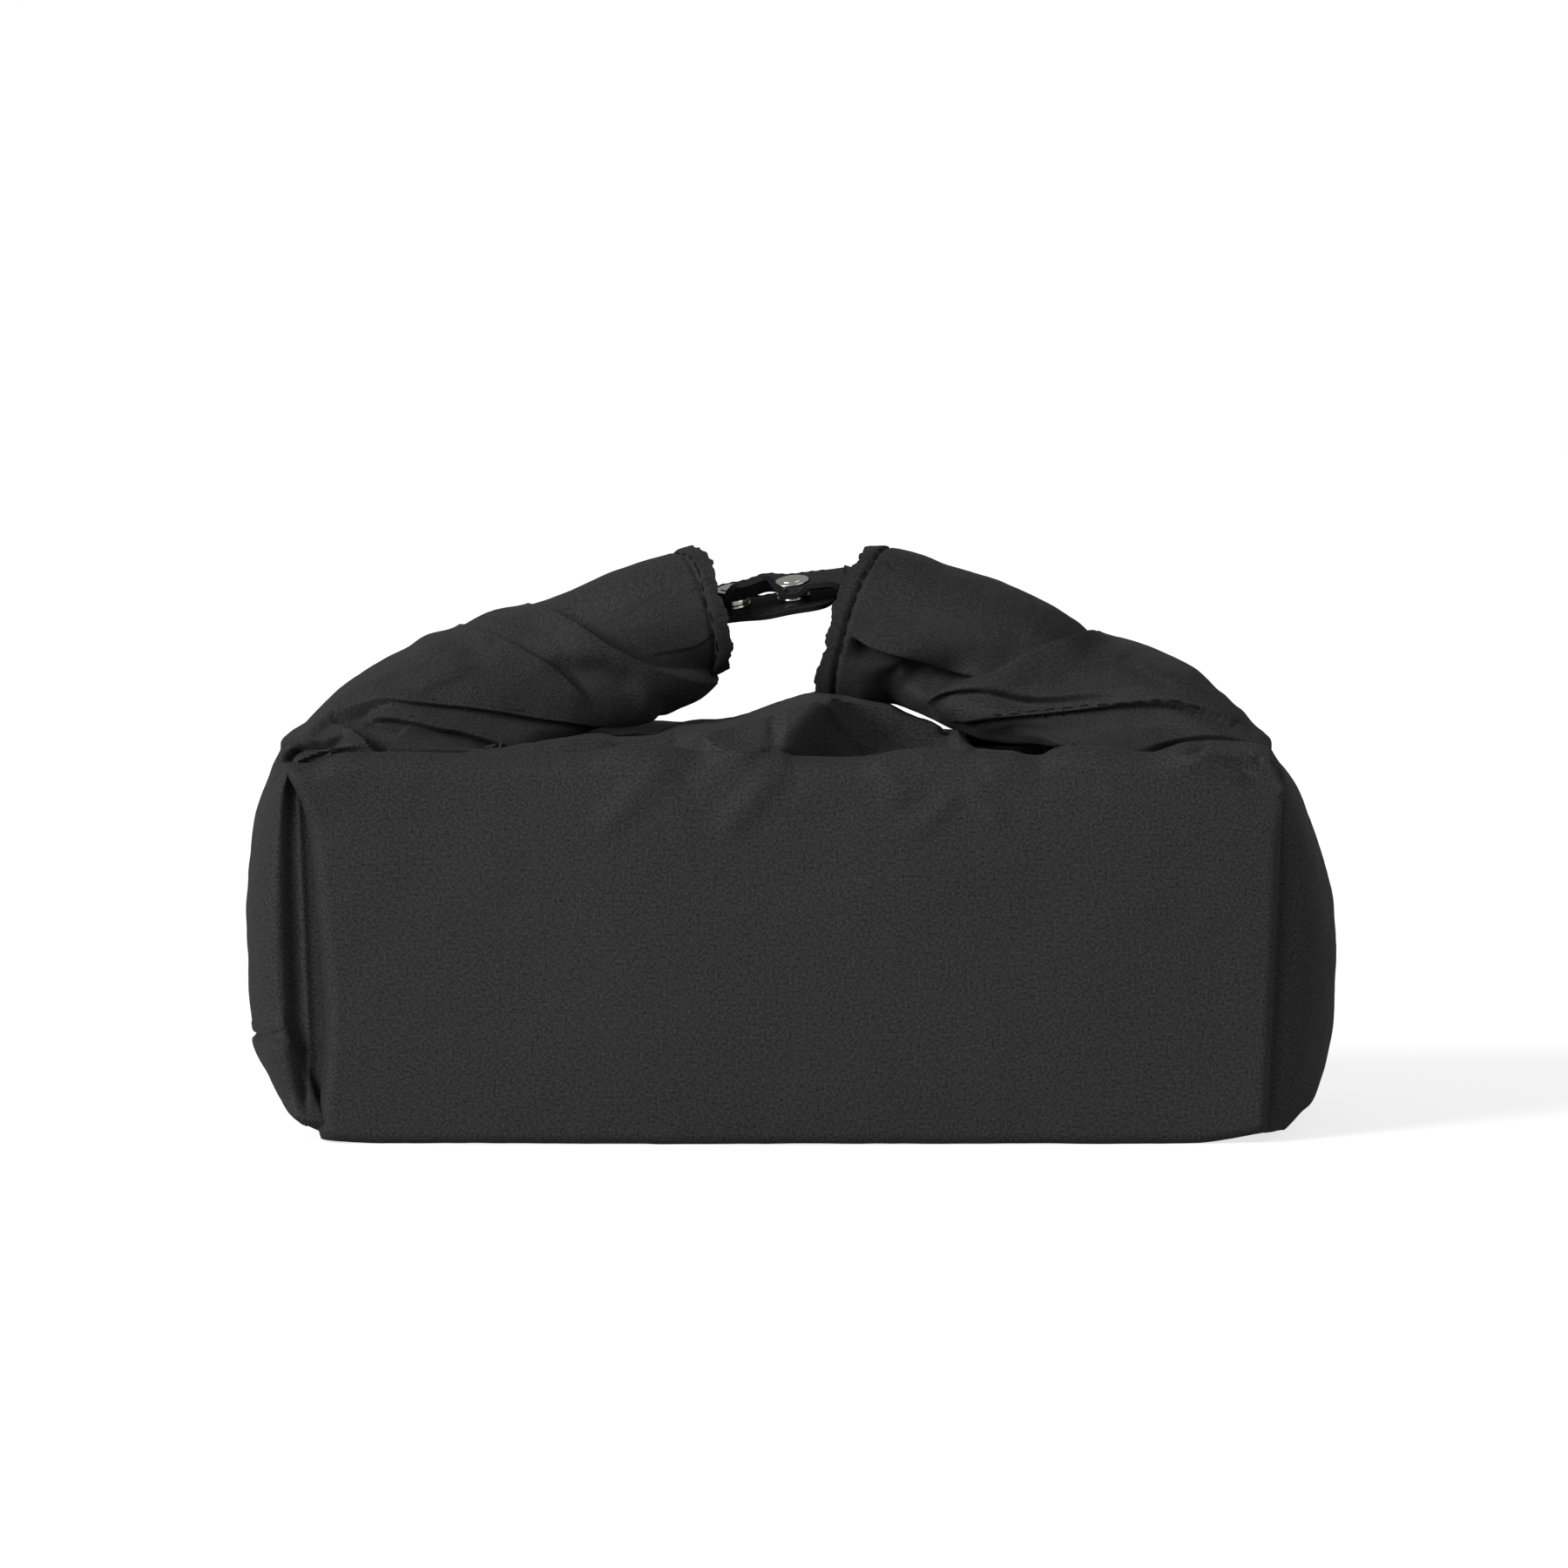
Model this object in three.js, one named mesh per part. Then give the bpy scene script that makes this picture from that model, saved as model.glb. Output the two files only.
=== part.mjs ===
// A soft lunch bag whose two ends rise into twisted tube handles. The handles meet over the middle, where a
// strap from one is pressed onto a strap from the other with two snap fasteners.
// Millimetres, +Z up. The origin is on the floor under the middle of the bag, and the front faces -Y.

import * as THREE from "three";

// Box of the bag
const seamWidth = 250; // between the upright corner seams, at the floor
const seamFlare = 4; // how far each corner seam leans out by the top
const seamDepth = 120; // from the front corner seams to the back ones
const bodyHeight = 103; // floor to the fold along the top
const edgeRadius = 6; // rounding of the folded bottom and top edges
const frontCrown = 5; // how far the front and back swell out
const gussetCrown = 20; // how far the side gussets swell out
const crownStart = 12; // depth below the floor where a panel's swell would begin
const crownFullness = 3; // 2 is a plain arc, and more is fuller near the edges

// Layers of the wall
const cloth = 1; // outer nylon with its backing
const foam = 3; // insulating foam
const board = 1.5; // stiffener in the base
const film = 0.8; // lining film
const gap = 0.3; // clearance between neighbouring pieces

// Mouth flaps, which fold in from the top of the front and the back
const flapEndGap = 1; // from the end of a flap to the handle beside it
const flapX = 13; // where the front flap peaks, right of the middle
const flapSpread = 34; // half width of its peak
const frontFlap = { end: 10, reach: 48, peak: 80, rise: 11 }; // depths at the ends, along the middle and at the peak
const backFlap = { end: 10, reach: 42, peak: 42, rise: 0 };
const flapLift = 2.5; // above 1, a flap lies flat first and turns up at its edge

// Handles
const baseLength = 29; // along the bag, at the same place
const baseLift = 1.5; // underside of a handle over the top fold
const mouthTop = 51.5; // top of both mouths over the top fold
const baseSquareness = 5; // 2 is an ellipse, and more is squarer
const mouthSquareness = 2.4;
const taper = 1.3; // how soon the depth of a handle draws in from its base
const pleatDepth = 2.4;
const pleatCount = 3;
const pleatTwist = 200; // degrees that a pleat winds from the base to the mouth
const hemDepth = 7; // turned-in hem round a mouth
const lipReach = 5.5; // how much further the front of a mouth's rim stands out than its middle
const leftMouth = { topX: 26, height: 35.5, lean: 7, depth: 35, lowerRise: 35 };
const rightMouth = { topX: 21.5, height: 43, lean: 12, depth: 36, lowerRise: 8 };

// Straps, in their own frame: X runs along them and Z leaves their face
const strapWidth = 20;
const strapThickness = 1.4;
const strapSlope = 8; // degrees, rising to the right
const strapTilt = 14; // degrees, front edge down
const strapDrop = 13.6; // from the top of the mouths to the lower strap at its first snap
const snapX = 1; // first snap, right of the middle
const snapPitch = 16;
const upperTip = 8; // from its outer snap to the end of the upper strap
const lowerTip = 12.5; // from its outer snap to the end of the lower strap
const upperBend = 14.5; // from the first snap to where the upper strap leaves its handle
const lowerBend = 22; // from the first snap to where the lower strap leaves its handle
const strapTuck = 22; // length of strap that is sewn inside a handle

// Snap fasteners
const capDiameter = 9.5;
const capEdge = 0.5; // height of a cap's straight rim
const capDome = 1;
const ringDiameter = 8.8; // socket, and flange of the stud
const socketHeight = 1.6;
const socketWeb = 0.6;
const cavityDiameter = 5.8; // mouth of the socket
const flangeHeight = 0.8;
const studDiameter = 3.2;
const studHeight = 0.8; // above its flange
const postDiameter = 2.4; // rivet through the strap
const headDiameter = 7; // rivet head under the lower strap
const headHeight = 0.8;
const snapGap = 0.15; // clearance in and round a snap

// Fineness of the curved pieces
const aroundHandle = 20;
const alongHandle = 16;
const acrossPanel = 12;
const acrossGusset = 12;
const upPanel = 6;
const acrossFlap = 24;
const alongFlap = 5;
const aroundSnap = 16;

const finishes = {
  nylon: new THREE.MeshStandardMaterial({ color: 0x323234, roughness: 0.82, metalness: 0 }),
  strap: new THREE.MeshStandardMaterial({ color: 0x232426, roughness: 0.6, metalness: 0 }),
  lining: new THREE.MeshStandardMaterial({ color: 0x1d1e20, roughness: 0.7, metalness: 0 }),
  film: new THREE.MeshStandardMaterial({ color: 0xb9bcc0, roughness: 0.35, metalness: 0.7 }),
  foam: new THREE.MeshStandardMaterial({ color: 0xe6e6e2, roughness: 0.95, metalness: 0 }),
  board: new THREE.MeshStandardMaterial({ color: 0x2a2a2b, roughness: 0.7, metalness: 0 }),
  metal: new THREE.MeshStandardMaterial({ color: 0xd8d4cc, roughness: 0.22, metalness: 1 }),
};

const { lerp, clamp, degToRad } = THREE.MathUtils;
const bag = new THREE.Group();

function addPiece(name, geometry, finish, parent = bag) {
  const mesh = new THREE.Mesh(geometry, finish);
  mesh.name = name;
  parent.add(mesh);
}

const steps = (count, at) => Array.from({ length: count + 1 }, (_, i) => at(i / count));

// A closed solid from its points and faces, turned outward.
function solidFrom(points, faces) {
  let volume = 0;
  for (let i = 0; i < faces.length; i += 3) {
    const [a, b, c] = [points[faces[i]], points[faces[i + 1]], points[faces[i + 2]]];
    volume += a.dot(b.clone().cross(c));
  }
  const geometry = new THREE.BufferGeometry().setFromPoints(points);
  geometry.setIndex(volume > 0 ? faces : faces.toReversed());
  geometry.computeVertexNormals();
  return geometry;
}

// The solid between two skins, each a function of u and v from 0 to 1. A wrapped sheet closes on itself in u.
function sheetSolid(outer, inner, across, along, wrapped = false) {
  const columns = wrapped ? across : across + 1;
  const rows = along + 1;
  const points = [];
  for (const skin of [outer, inner])
    for (let j = 0; j < rows; j++)
      for (let i = 0; i < columns; i++) points.push(skin(i / across, j / along));
  const at = (side, i, j) => (side * rows + j) * columns + (i % columns);
  const faces = [];
  const quad = (a, b, c, d) => faces.push(a, b, c, a, c, d);
  for (let i = 0; i < across; i++) {
    for (let j = 0; j < along; j++) {
      quad(at(0, i, j), at(0, i + 1, j), at(0, i + 1, j + 1), at(0, i, j + 1));
      quad(at(1, i, j), at(1, i, j + 1), at(1, i + 1, j + 1), at(1, i + 1, j));
    }
    quad(at(1, i, 0), at(1, i + 1, 0), at(0, i + 1, 0), at(0, i, 0));
    quad(at(0, i, along), at(0, i + 1, along), at(1, i + 1, along), at(1, i, along));
  }
  for (let j = 0; j < along && !wrapped; j++) {
    quad(at(0, 0, j), at(0, 0, j + 1), at(1, 0, j + 1), at(1, 0, j));
    quad(at(1, across, j), at(1, across, j + 1), at(0, across, j + 1), at(0, across, j));
  }
  return solidFrom(points, faces);
}

// The solid through a row of closed rings, with a flat cap at each end.
function ringSolid(rings) {
  const count = rings[0].length;
  const points = rings.flat();
  const faces = [];
  for (let k = 0; k + 1 < rings.length; k++)
    for (let i = 0; i < count; i++) {
      const next = (i + 1) % count;
      const [low, high] = [k * count, (k + 1) * count];
      faces.push(low + i, low + next, high + next, low + i, high + next, high + i);
    }
  const middleOf = (ring) => ring.reduce((sum, p) => sum.add(p), new THREE.Vector3()).divideScalar(count);
  const [first, last] = [points.length, points.length + 1];
  points.push(middleOf(rings[0]), middleOf(rings.at(-1)));
  const lastRing = (rings.length - 1) * count;
  for (let i = 0; i < count; i++) {
    const next = (i + 1) % count;
    faces.push(first, next, i, last, lastRing + i, lastRing + next);
  }
  return solidFrom(points, faces);
}

// Walls of the bag. A place on a wall is u, from one corner seam to the other, an inset from its outside and a
// height.
const seamX = (z) => seamWidth / 2 + (seamFlare * z) / bodyHeight;
const seamY = seamDepth / 2;
const topX = seamX(bodyHeight);

function swellAt(z) {
  const rise = clamp((z + crownStart) / (bodyHeight + crownStart), 0, 1);
  return 1 - Math.abs(2 * rise - 1) ** crownFullness;
}

// Heights that every layer of a wall shares, so that the layers stay parallel
const headZ = bodyHeight - edgeRadius;
const levels = steps(upPanel, (k) => lerp(edgeRadius, headZ, k));

function frontWall(u, [inset, z]) {
  const s = 2 * u - 1;
  const swell = frontCrown * swellAt(z) * (1 - s * s);
  return new THREE.Vector3(s * (seamX(z) - inset - gap), inset - seamY - swell, z);
}

function rightWall(u, [inset, z]) {
  const s = 2 * u - 1;
  const swell = gussetCrown * swellAt(z) * (1 - s * s);
  return new THREE.Vector3(seamX(z) - inset + swell, s * (seamY - inset - gap), z);
}

const mirrored = (wall, x, y) => (u, place) => wall(u, place).multiply(new THREE.Vector3(x, y, 1));
const walls = {
  front: { at: frontWall, across: acrossPanel, foldsOver: true },
  back: { at: mirrored(frontWall, 1, -1), across: acrossPanel, foldsOver: true },
  right: { at: rightWall, across: acrossGusset, foldsOver: false },
  left: { at: mirrored(rightWall, -1, 1), across: acrossGusset, foldsOver: false },
};

// A wall between two sections, each a list of [inset, height].
function wallSolid({ at, across }, outerSection, innerSection) {
  const last = outerSection.length - 1;
  const skin = (section) => (u, v) => at(u, section[Math.round(v * last)]);
  return sheetSolid(skin(outerSection), skin(innerSection), across, last);
}

const bend = (z, radius, from, to) =>
  steps(3, (k) => {
    const angle = degToRad(lerp(from, to, k));
    return [edgeRadius + radius * Math.cos(angle), z + radius * Math.sin(angle)];
  });

// Section of an outer panel at a depth into its cloth: turned under at the foot, and over at the top where it
// folds in towards the mouth.
function panelSection(depth, foldsOver) {
  const radius = edgeRadius - depth;
  const foot = bend(edgeRadius, radius, 270, 180);
  const upright = levels.slice(1, -1).map((z) => [depth, z]);
  const head = foldsOver ? bend(headZ, radius, 180, 90) : [[depth, headZ], [depth, bodyHeight]];
  return [...foot, ...upright, ...head];
}

function addPanels() {
  for (const [side, wall] of Object.entries(walls)) {
    const name = wall.foldsOver ? `${side}_panel` : `${side}_gusset`;
    const outer = panelSection(0, wall.foldsOver);
    const inner = panelSection(cloth, wall.foldsOver);
    addPiece(name, wallSolid(wall, outer, inner), finishes.nylon);
  }
}

// Insets and heights of what lies inside the outer panels
const foamInset = cloth + gap;
const linerInset = Math.max(foamInset + foam + gap, edgeRadius);
const baseFoamZ = cloth + gap;
const boardZ = baseFoamZ + foam + gap;
const linerZ = boardZ + board + gap;
const linerTop = bodyHeight - cloth - gap;
const foamFoot = Math.max(boardZ, edgeRadius);

function addWallFoam() {
  const section = (inset) => [foamFoot, ...levels.filter((z) => z > foamFoot)].map((z) => [inset, z]);
  for (const [side, wall] of Object.entries(walls))
    addPiece(`${side}_foam`, wallSolid(wall, section(foamInset), section(foamInset + foam)), finishes.foam);
}

// A ring round the inside of the walls, with its corners cut.
function planRing(inset, z, corner = edgeRadius) {
  const turns = [
    (u) => walls.front.at(u, [inset, z]),
    (u) => walls.right.at(u, [inset, z]),
    (u) => walls.back.at(1 - u, [inset, z]),
    (u) => walls.left.at(1 - u, [inset, z]),
  ];
  const lengths = [seamX(z) * 2, seamDepth, seamX(z) * 2, seamDepth];
  return turns.flatMap((turn, i) => {
    const cut = corner / lengths[i];
    return steps(acrossGusset, (k) => turn(lerp(cut, 1 - cut, k)));
  });
}

function addFloor() {
  const slab = (inset, z, thickness, corner) =>
    ringSolid([planRing(inset, z, corner), planRing(inset, z + thickness, corner)]);
  addPiece("base_panel", slab(edgeRadius + gap, 0, cloth, cloth), finishes.nylon);
  addPiece("base_foam", slab(linerInset, baseFoamZ, foam), finishes.foam);
  addPiece("base_board", slab(linerInset, boardZ, board), finishes.board);
}

function addLiner() {
  const heights = (from) => [from, ...levels.filter((z) => z > linerZ + film && z < linerTop), linerTop];
  const outside = heights(linerZ).map((z) => planRing(linerInset, z));
  const inside = heights(linerZ + film).map((z) => planRing(linerInset + film, z));
  addPiece("liner", ringSolid([...outside, ...inside.reverse()]), finishes.film);
}

// Mouth flaps. A flap starts at the end of its panel's fold, is shallow at its ends and deep at its peak.
const flapHalfWidth = topX - baseLength - flapEndGap;

function flapSkin(flap, startInset, depth, margin, turn) {
  return (u, v) => {
    const x = lerp(-1, 1, u) * (flapHalfWidth - margin);
    const peak = Math.exp(-(((x - flapX) / flapSpread) ** 2));
    const lens = lerp(flap.end, flap.reach, 1 - Math.abs(x / flapHalfWidth) ** 3);
    const reach = lens + (flap.peak - flap.reach) * peak;
    const inset = lerp(startInset, edgeRadius + reach - margin, v);
    const lift = flap.rise * peak ** 2 * ((inset - edgeRadius) / reach) ** flapLift;
    return new THREE.Vector3(x, turn * (seamY - inset), bodyHeight - depth + lift);
  };
}

function addFlap(name, flap, turn) {
  const start = edgeRadius + gap;
  const skin = (inset, depth, margin) => flapSkin(flap, inset, depth, margin, turn);
  addPiece(name, sheetSolid(skin(start, 0, 0), skin(start, cloth, 0), acrossFlap, alongFlap), finishes.nylon);
  const liningStart = linerInset + film + gap;
  const under = cloth + gap;
  const margin = film + gap;
  const lining = [skin(liningStart, under, margin), skin(liningStart, under + film, margin)];
  addPiece(`${name}_lining`, sheetSolid(...lining, acrossFlap, alongFlap), finishes.lining);
}

// Handles. Each ring of a handle lies between a point on its upper curve and one on its lower curve. The curves
// are drawn for the right-hand side, in X and Z, from the side of the bag to the mouth.
const mouthTopZ = bodyHeight + mouthTop;

function handleCurves(mouth) {
  const upperStart = new THREE.Vector2(topX, bodyHeight + gap);
  const upperEnd = new THREE.Vector2(mouth.topX, mouthTopZ);
  const lowerStart = new THREE.Vector2(topX - baseLength, bodyHeight + baseLift);
  const lowerEnd = new THREE.Vector2(mouth.topX - mouth.lean, mouthTopZ - mouth.height);
  const span = upperStart.x - upperEnd.x;
  const inward = (degrees, share) =>
    new THREE.Vector2(-Math.cos(degToRad(degrees)), Math.sin(degToRad(degrees))).multiplyScalar(span * share);
  const curve = (start, startDegrees, startShare, end, endDegrees, endShare) =>
    new THREE.CubicBezierCurve(
      start,
      start.clone().add(inward(startDegrees, startShare)),
      end.clone().sub(inward(endDegrees, endShare)),
      end,
    );
  return {
    upper: curve(upperStart, 58, 0.34, upperEnd, 16, 0.36),
    lower: curve(lowerStart, 1, 0.3, lowerEnd, mouth.lowerRise, 0.24),
  };
}

// A point of the right-hand handle: t runs from the base to the mouth, and angle goes round from the upper curve.
function handlePoint(mouth, curves, t, angle, inset) {
  const upper = curves.upper.getPoint(t);
  const lower = curves.lower.getPoint(t);
  const middle = upper.clone().add(lower).multiplyScalar(0.5);
  const direction = upper.clone().sub(lower).normalize();
  const baseHalf = seamY - edgeRadius - gap;
  const halfDepth = lerp(mouth.depth / 2, baseHalf, (1 - t) ** taper);
  const squareness = lerp(mouthSquareness, baseSquareness, (1 - t) ** 2);
  const wave = (1 - Math.cos(pleatCount * (angle - degToRad(pleatTwist) * t))) / 2;
  const pleat = pleatDepth * Math.sin(Math.PI * t) ** 2 * wave;
  const round = (value) => Math.sign(value) * Math.abs(value) ** (2 / squareness);
  const along = (upper.distanceTo(lower) / 2 - inset - pleat) * round(Math.cos(angle));
  const y = (halfDepth - inset - pleat) * round(Math.sin(angle));
  const lip = lipReach * t ** 6 * (y / halfDepth);
  return new THREE.Vector3(middle.x + direction.x * along + lip, y, middle.y + direction.y * along);
}

function handleSkin(mouth, side, insetAt, from = 0, to = 1) {
  const curves = handleCurves(mouth);
  return (u, v) => {
    const t = lerp(from, to, v);
    const point = handlePoint(mouth, curves, t, u * Math.PI * 2, insetAt(t));
    return point.setX(point.x * side);
  };
}

function addHandle(name, mouth, side) {
  const hemStart = 1 - hemDepth / handleCurves(mouth).upper.getLength();
  const outer = handleSkin(mouth, side, () => 0);
  const inner = handleSkin(mouth, side, (t) => (t > hemStart ? cloth * 2 : cloth));
  addPiece(name, sheetSolid(outer, inner, aroundHandle, alongHandle, true), finishes.nylon);
  const lastRow = Math.floor(hemStart * alongHandle) - 1;
  const skin = (inset) => handleSkin(mouth, side, () => inset, 1 / alongHandle, lastRow / alongHandle);
  const lining = sheetSolid(skin(cloth + gap), skin(cloth + gap + film), aroundHandle, lastRow - 1, true);
  addPiece(`${name}_lining`, lining, finishes.lining);
}

// Heights in the straps' frame, up from the face of the lower strap
const studZ = snapGap;
const socketZ = studZ + flangeHeight + snapGap;
const upperStrapZ = socketZ + socketHeight + snapGap;
const capZ = upperStrapZ + strapThickness + snapGap;

const straps = new THREE.Group();
straps.position.set(snapX, 0, mouthTopZ - strapDrop);
straps.rotation.set(degToRad(strapTilt), -degToRad(strapSlope), 0, "YXZ");
bag.add(straps);

// A strap from where it leaves its handle, at bendX, to its round end, with a hole for each rivet.
function strapSolid(bendX, tipX) {
  const half = strapWidth / 2;
  const towards = Math.sign(tipX - bendX);
  const roundX = tipX - towards * half;
  const shape = new THREE.Shape();
  shape.moveTo(bendX, -half * towards);
  shape.lineTo(roundX, -half * towards);
  const quarter = Math.PI / 2;
  shape.absarc(roundX, 0, half, towards > 0 ? -quarter : quarter, towards > 0 ? quarter : 3 * quarter);
  shape.lineTo(bendX, half * towards);
  for (const x of [0, -snapPitch]) {
    const hole = new THREE.Path();
    hole.absarc(x, 0, postDiameter / 2 + snapGap, 0, Math.PI * 2, true);
    shape.holes.push(hole);
  }
  return new THREE.ExtrudeGeometry(shape, { depth: strapThickness, bevelEnabled: false, curveSegments: 8 });
}

// The end of a strap that is sewn inside a handle, from its bend up to the inside of the handle.
function strapAnchor(mouth, side, bendX, z) {
  const curves = handleCurves(mouth);
  const endT = 1 - strapTuck / curves.upper.getLength();
  const seat = cloth * 2 + film + gap;
  straps.updateMatrixWorld(true);
  const skin = (depth) => (u, v) => {
    const y = lerp(-strapWidth / 2, strapWidth / 2, u);
    const start = new THREE.Vector3(bendX + side * gap, y, z + strapThickness - depth);
    start.applyMatrix4(straps.matrixWorld);
    const end = handlePoint(mouth, curves, endT, (2 * y) / mouth.depth, seat + depth);
    return start.lerp(end.setX(end.x * side), v);
  };
  return sheetSolid(skin(0), skin(strapThickness), 6, 4);
}

function addStraps() {
  const upper = strapSolid(upperBend, -snapPitch - upperTip).translate(0, 0, upperStrapZ);
  const lower = strapSolid(-lowerBend, lowerTip).translate(0, 0, -strapThickness);
  addPiece("upper_strap", upper, finishes.strap, straps);
  addPiece("lower_strap", lower, finishes.strap, straps);
  addPiece("upper_strap_anchor", strapAnchor(rightMouth, 1, upperBend, upperStrapZ), finishes.strap);
  addPiece("lower_strap_anchor", strapAnchor(leftMouth, -1, -lowerBend, -strapThickness), finishes.strap);
}

// Snaps. Each profile is a list of [radius, height] from the axis out and back, or round a ring.
const turned = (profile) => {
  const points = profile.map(([radius, z]) => new THREE.Vector2(radius, z));
  return new THREE.LatheGeometry(points, aroundSnap).rotateX(Math.PI / 2);
};

const shankRadius = postDiameter / 2;
const capRadius = capDiameter / 2;
const ringRadius = ringDiameter / 2;
const holeRadius = shankRadius + snapGap;

// The cap's dome is turned over a shank that goes down through the upper strap into its socket.
function capProfile() {
  const shankEnd = socketZ + socketHeight - socketWeb;
  const dome = steps(3, (k) => {
    const angle = (k * Math.PI) / 2;
    return [capRadius * Math.cos(angle), capZ + capEdge + capDome * Math.sin(angle)];
  });
  return [[0, shankEnd], [shankRadius, shankEnd], [shankRadius, capZ], [capRadius, capZ], ...dome];
}

function socketProfile() {
  const webZ = socketZ + socketHeight - socketWeb;
  const topZ = socketZ + socketHeight;
  const cavity = cavityDiameter / 2;
  const ring = [[cavity, socketZ], [ringRadius, socketZ], [ringRadius, topZ], [holeRadius, topZ], [holeRadius, webZ]];
  return [...ring, [cavity, webZ], [cavity, socketZ]];
}

function studProfile() {
  const flangeTop = studZ + flangeHeight;
  const top = flangeTop + studHeight;
  const bore = flangeTop;
  const outside = [[ringRadius, studZ], [ringRadius, flangeTop], [studDiameter / 2, flangeTop]];
  return [[0, bore], [holeRadius, bore], [holeRadius, studZ], ...outside, [studDiameter / 2, top], [0, top]];
}

// The rivet's head lies under the lower strap, and its shank goes up into the stud.
function rivetProfile() {
  const headTop = -strapThickness - snapGap;
  const shankTop = studZ + flangeHeight - snapGap;
  const headRadius = headDiameter / 2;
  const head = [[0, headTop - headHeight], [headRadius, headTop - headHeight], [headRadius, headTop]];
  return [...head, [shankRadius, headTop], [shankRadius, shankTop], [0, shankTop]];
}

function addSnaps() {
  const profiles = { cap: capProfile(), socket: socketProfile(), stud: studProfile(), rivet: rivetProfile() };
  for (const [side, x] of [["right", 0], ["left", -snapPitch]])
    for (const [part, profile] of Object.entries(profiles))
      addPiece(`${side}_snap_${part}`, turned(profile).translate(x, 0, 0), finishes.metal, straps);
}

addPanels();
addWallFoam();
addFloor();
addLiner();
addFlap("front_flap", frontFlap, -1);
addFlap("back_flap", backFlap, 1);
addHandle("left_handle", leftMouth, -1);
addHandle("right_handle", rightMouth, 1);
addStraps();
addSnaps();

export default bag;
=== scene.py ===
# A soft lunch bag in charcoal nylon. Its two ends rise into twisted tube handles, which meet over the
# middle at two snapped straps. Shapes are worked out in millimetres and made in metres, in the frame of the
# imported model: +X to the right, +Y to the back and +Z up, with the origin on the floor under the middle of
# the bag.

import math

import bpy
import numpy as np
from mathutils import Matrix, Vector, noise


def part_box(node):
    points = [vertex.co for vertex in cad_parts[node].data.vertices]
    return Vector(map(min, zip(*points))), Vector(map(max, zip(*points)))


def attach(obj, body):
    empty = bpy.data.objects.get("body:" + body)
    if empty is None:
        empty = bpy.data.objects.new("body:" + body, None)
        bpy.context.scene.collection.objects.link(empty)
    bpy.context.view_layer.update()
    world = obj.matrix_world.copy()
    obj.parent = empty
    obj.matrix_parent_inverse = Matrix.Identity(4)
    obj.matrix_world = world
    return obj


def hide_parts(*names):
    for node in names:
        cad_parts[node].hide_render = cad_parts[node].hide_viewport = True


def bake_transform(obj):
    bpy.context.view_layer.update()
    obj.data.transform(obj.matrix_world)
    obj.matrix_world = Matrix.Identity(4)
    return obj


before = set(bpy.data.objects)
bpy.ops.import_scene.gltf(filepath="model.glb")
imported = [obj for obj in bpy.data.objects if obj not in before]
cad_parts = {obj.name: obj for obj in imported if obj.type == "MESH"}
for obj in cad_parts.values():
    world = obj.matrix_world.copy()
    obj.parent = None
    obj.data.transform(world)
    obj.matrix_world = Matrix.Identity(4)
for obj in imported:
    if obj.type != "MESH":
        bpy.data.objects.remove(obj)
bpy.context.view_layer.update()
mm = 0.001

# Camera: nearly level with the bag and straight in front of it, a long way off, so the bag is seen almost
# without perspective.
eye = np.array([-1.6, -1795.6, 205.6])
aim = np.array([-1.6, 0, 90.6])


def in_scene(name, data):
    """A new object of the scene."""
    thing = bpy.data.objects.new(name, data)
    bpy.context.scene.collection.objects.link(thing)
    return thing


camera = in_scene("camera", bpy.data.cameras.new("camera"))
camera.data.lens = 153.2
camera.data.sensor_width = 36
camera.location = eye * mm
camera.rotation_euler = Vector((aim - eye) * mm).to_track_quat("-Z", "Y").to_euler()
bpy.context.scene.camera = camera


def seen(points):
    """Where points appear from the camera, as x and z on the upright plane through the bag's middle."""
    stretch = -eye[1] / (points[..., 1:2] - eye[1])
    return (eye + (points - eye) * stretch)[..., [0, 2]]


# Studio: a wide soft light from the upper left front, an even white surround and a pale floor.
sky_for_camera = 1.0
sky_light = 0.25


def feed(tree, node, inputs):
    """Sets a node's inputs to values, or links them to the outputs of other nodes."""
    for key, value in dict(inputs).items():
        if isinstance(value, bpy.types.NodeSocket):
            tree.links.new(value, node.inputs[key])
        else:
            node.inputs[key].default_value = value
    return node


def add_node(tree, kind, inputs=(), **settings):
    """A new node of a tree, with its settings and its inputs."""
    node = tree.nodes.new(kind)
    for key, value in settings.items():
        setattr(node, key, value)
    return feed(tree, node, inputs)


def maths(tree, operation, a, b):
    """The result of one step of arithmetic."""
    return add_node(tree, "ShaderNodeMath", {0: a, 1: b}, operation=operation).outputs[0]


white = (1, 1, 1, 1)
world = bpy.data.worlds.new("studio")
bpy.context.scene.world = world
world.use_nodes = True
sky = world.node_tree
surround = feed(sky, sky.nodes["Background"], {"Strength": sky_light, "Color": white})
white_room = add_node(sky, "ShaderNodeBackground", {"Strength": sky_for_camera, "Color": white})
camera_ray = add_node(sky, "ShaderNodeLightPath").outputs["Is Camera Ray"]
mixed = add_node(sky, "ShaderNodeMixShader", {"Fac": camera_ray, 1: surround.outputs["Background"],
                                              2: white_room.outputs["Background"]})
feed(sky, sky.nodes["World Output"], {"Surface": mixed.outputs["Shader"]})

for name, strength, spread, direction in (("key_light", 3.9, 25, (0.74, 0.57, -0.38)),
                                          ("fill_light", 0.8, 60, (-0.8, 0.5, -0.3))):
    lamp = in_scene(name, bpy.data.lights.new(name, "SUN"))
    lamp.data.energy = strength
    lamp.data.angle = math.radians(spread)
    lamp.rotation_euler = Vector(direction).to_track_quat("-Z", "Y").to_euler()
bpy.context.scene.view_settings.view_transform = "Standard"

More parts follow.
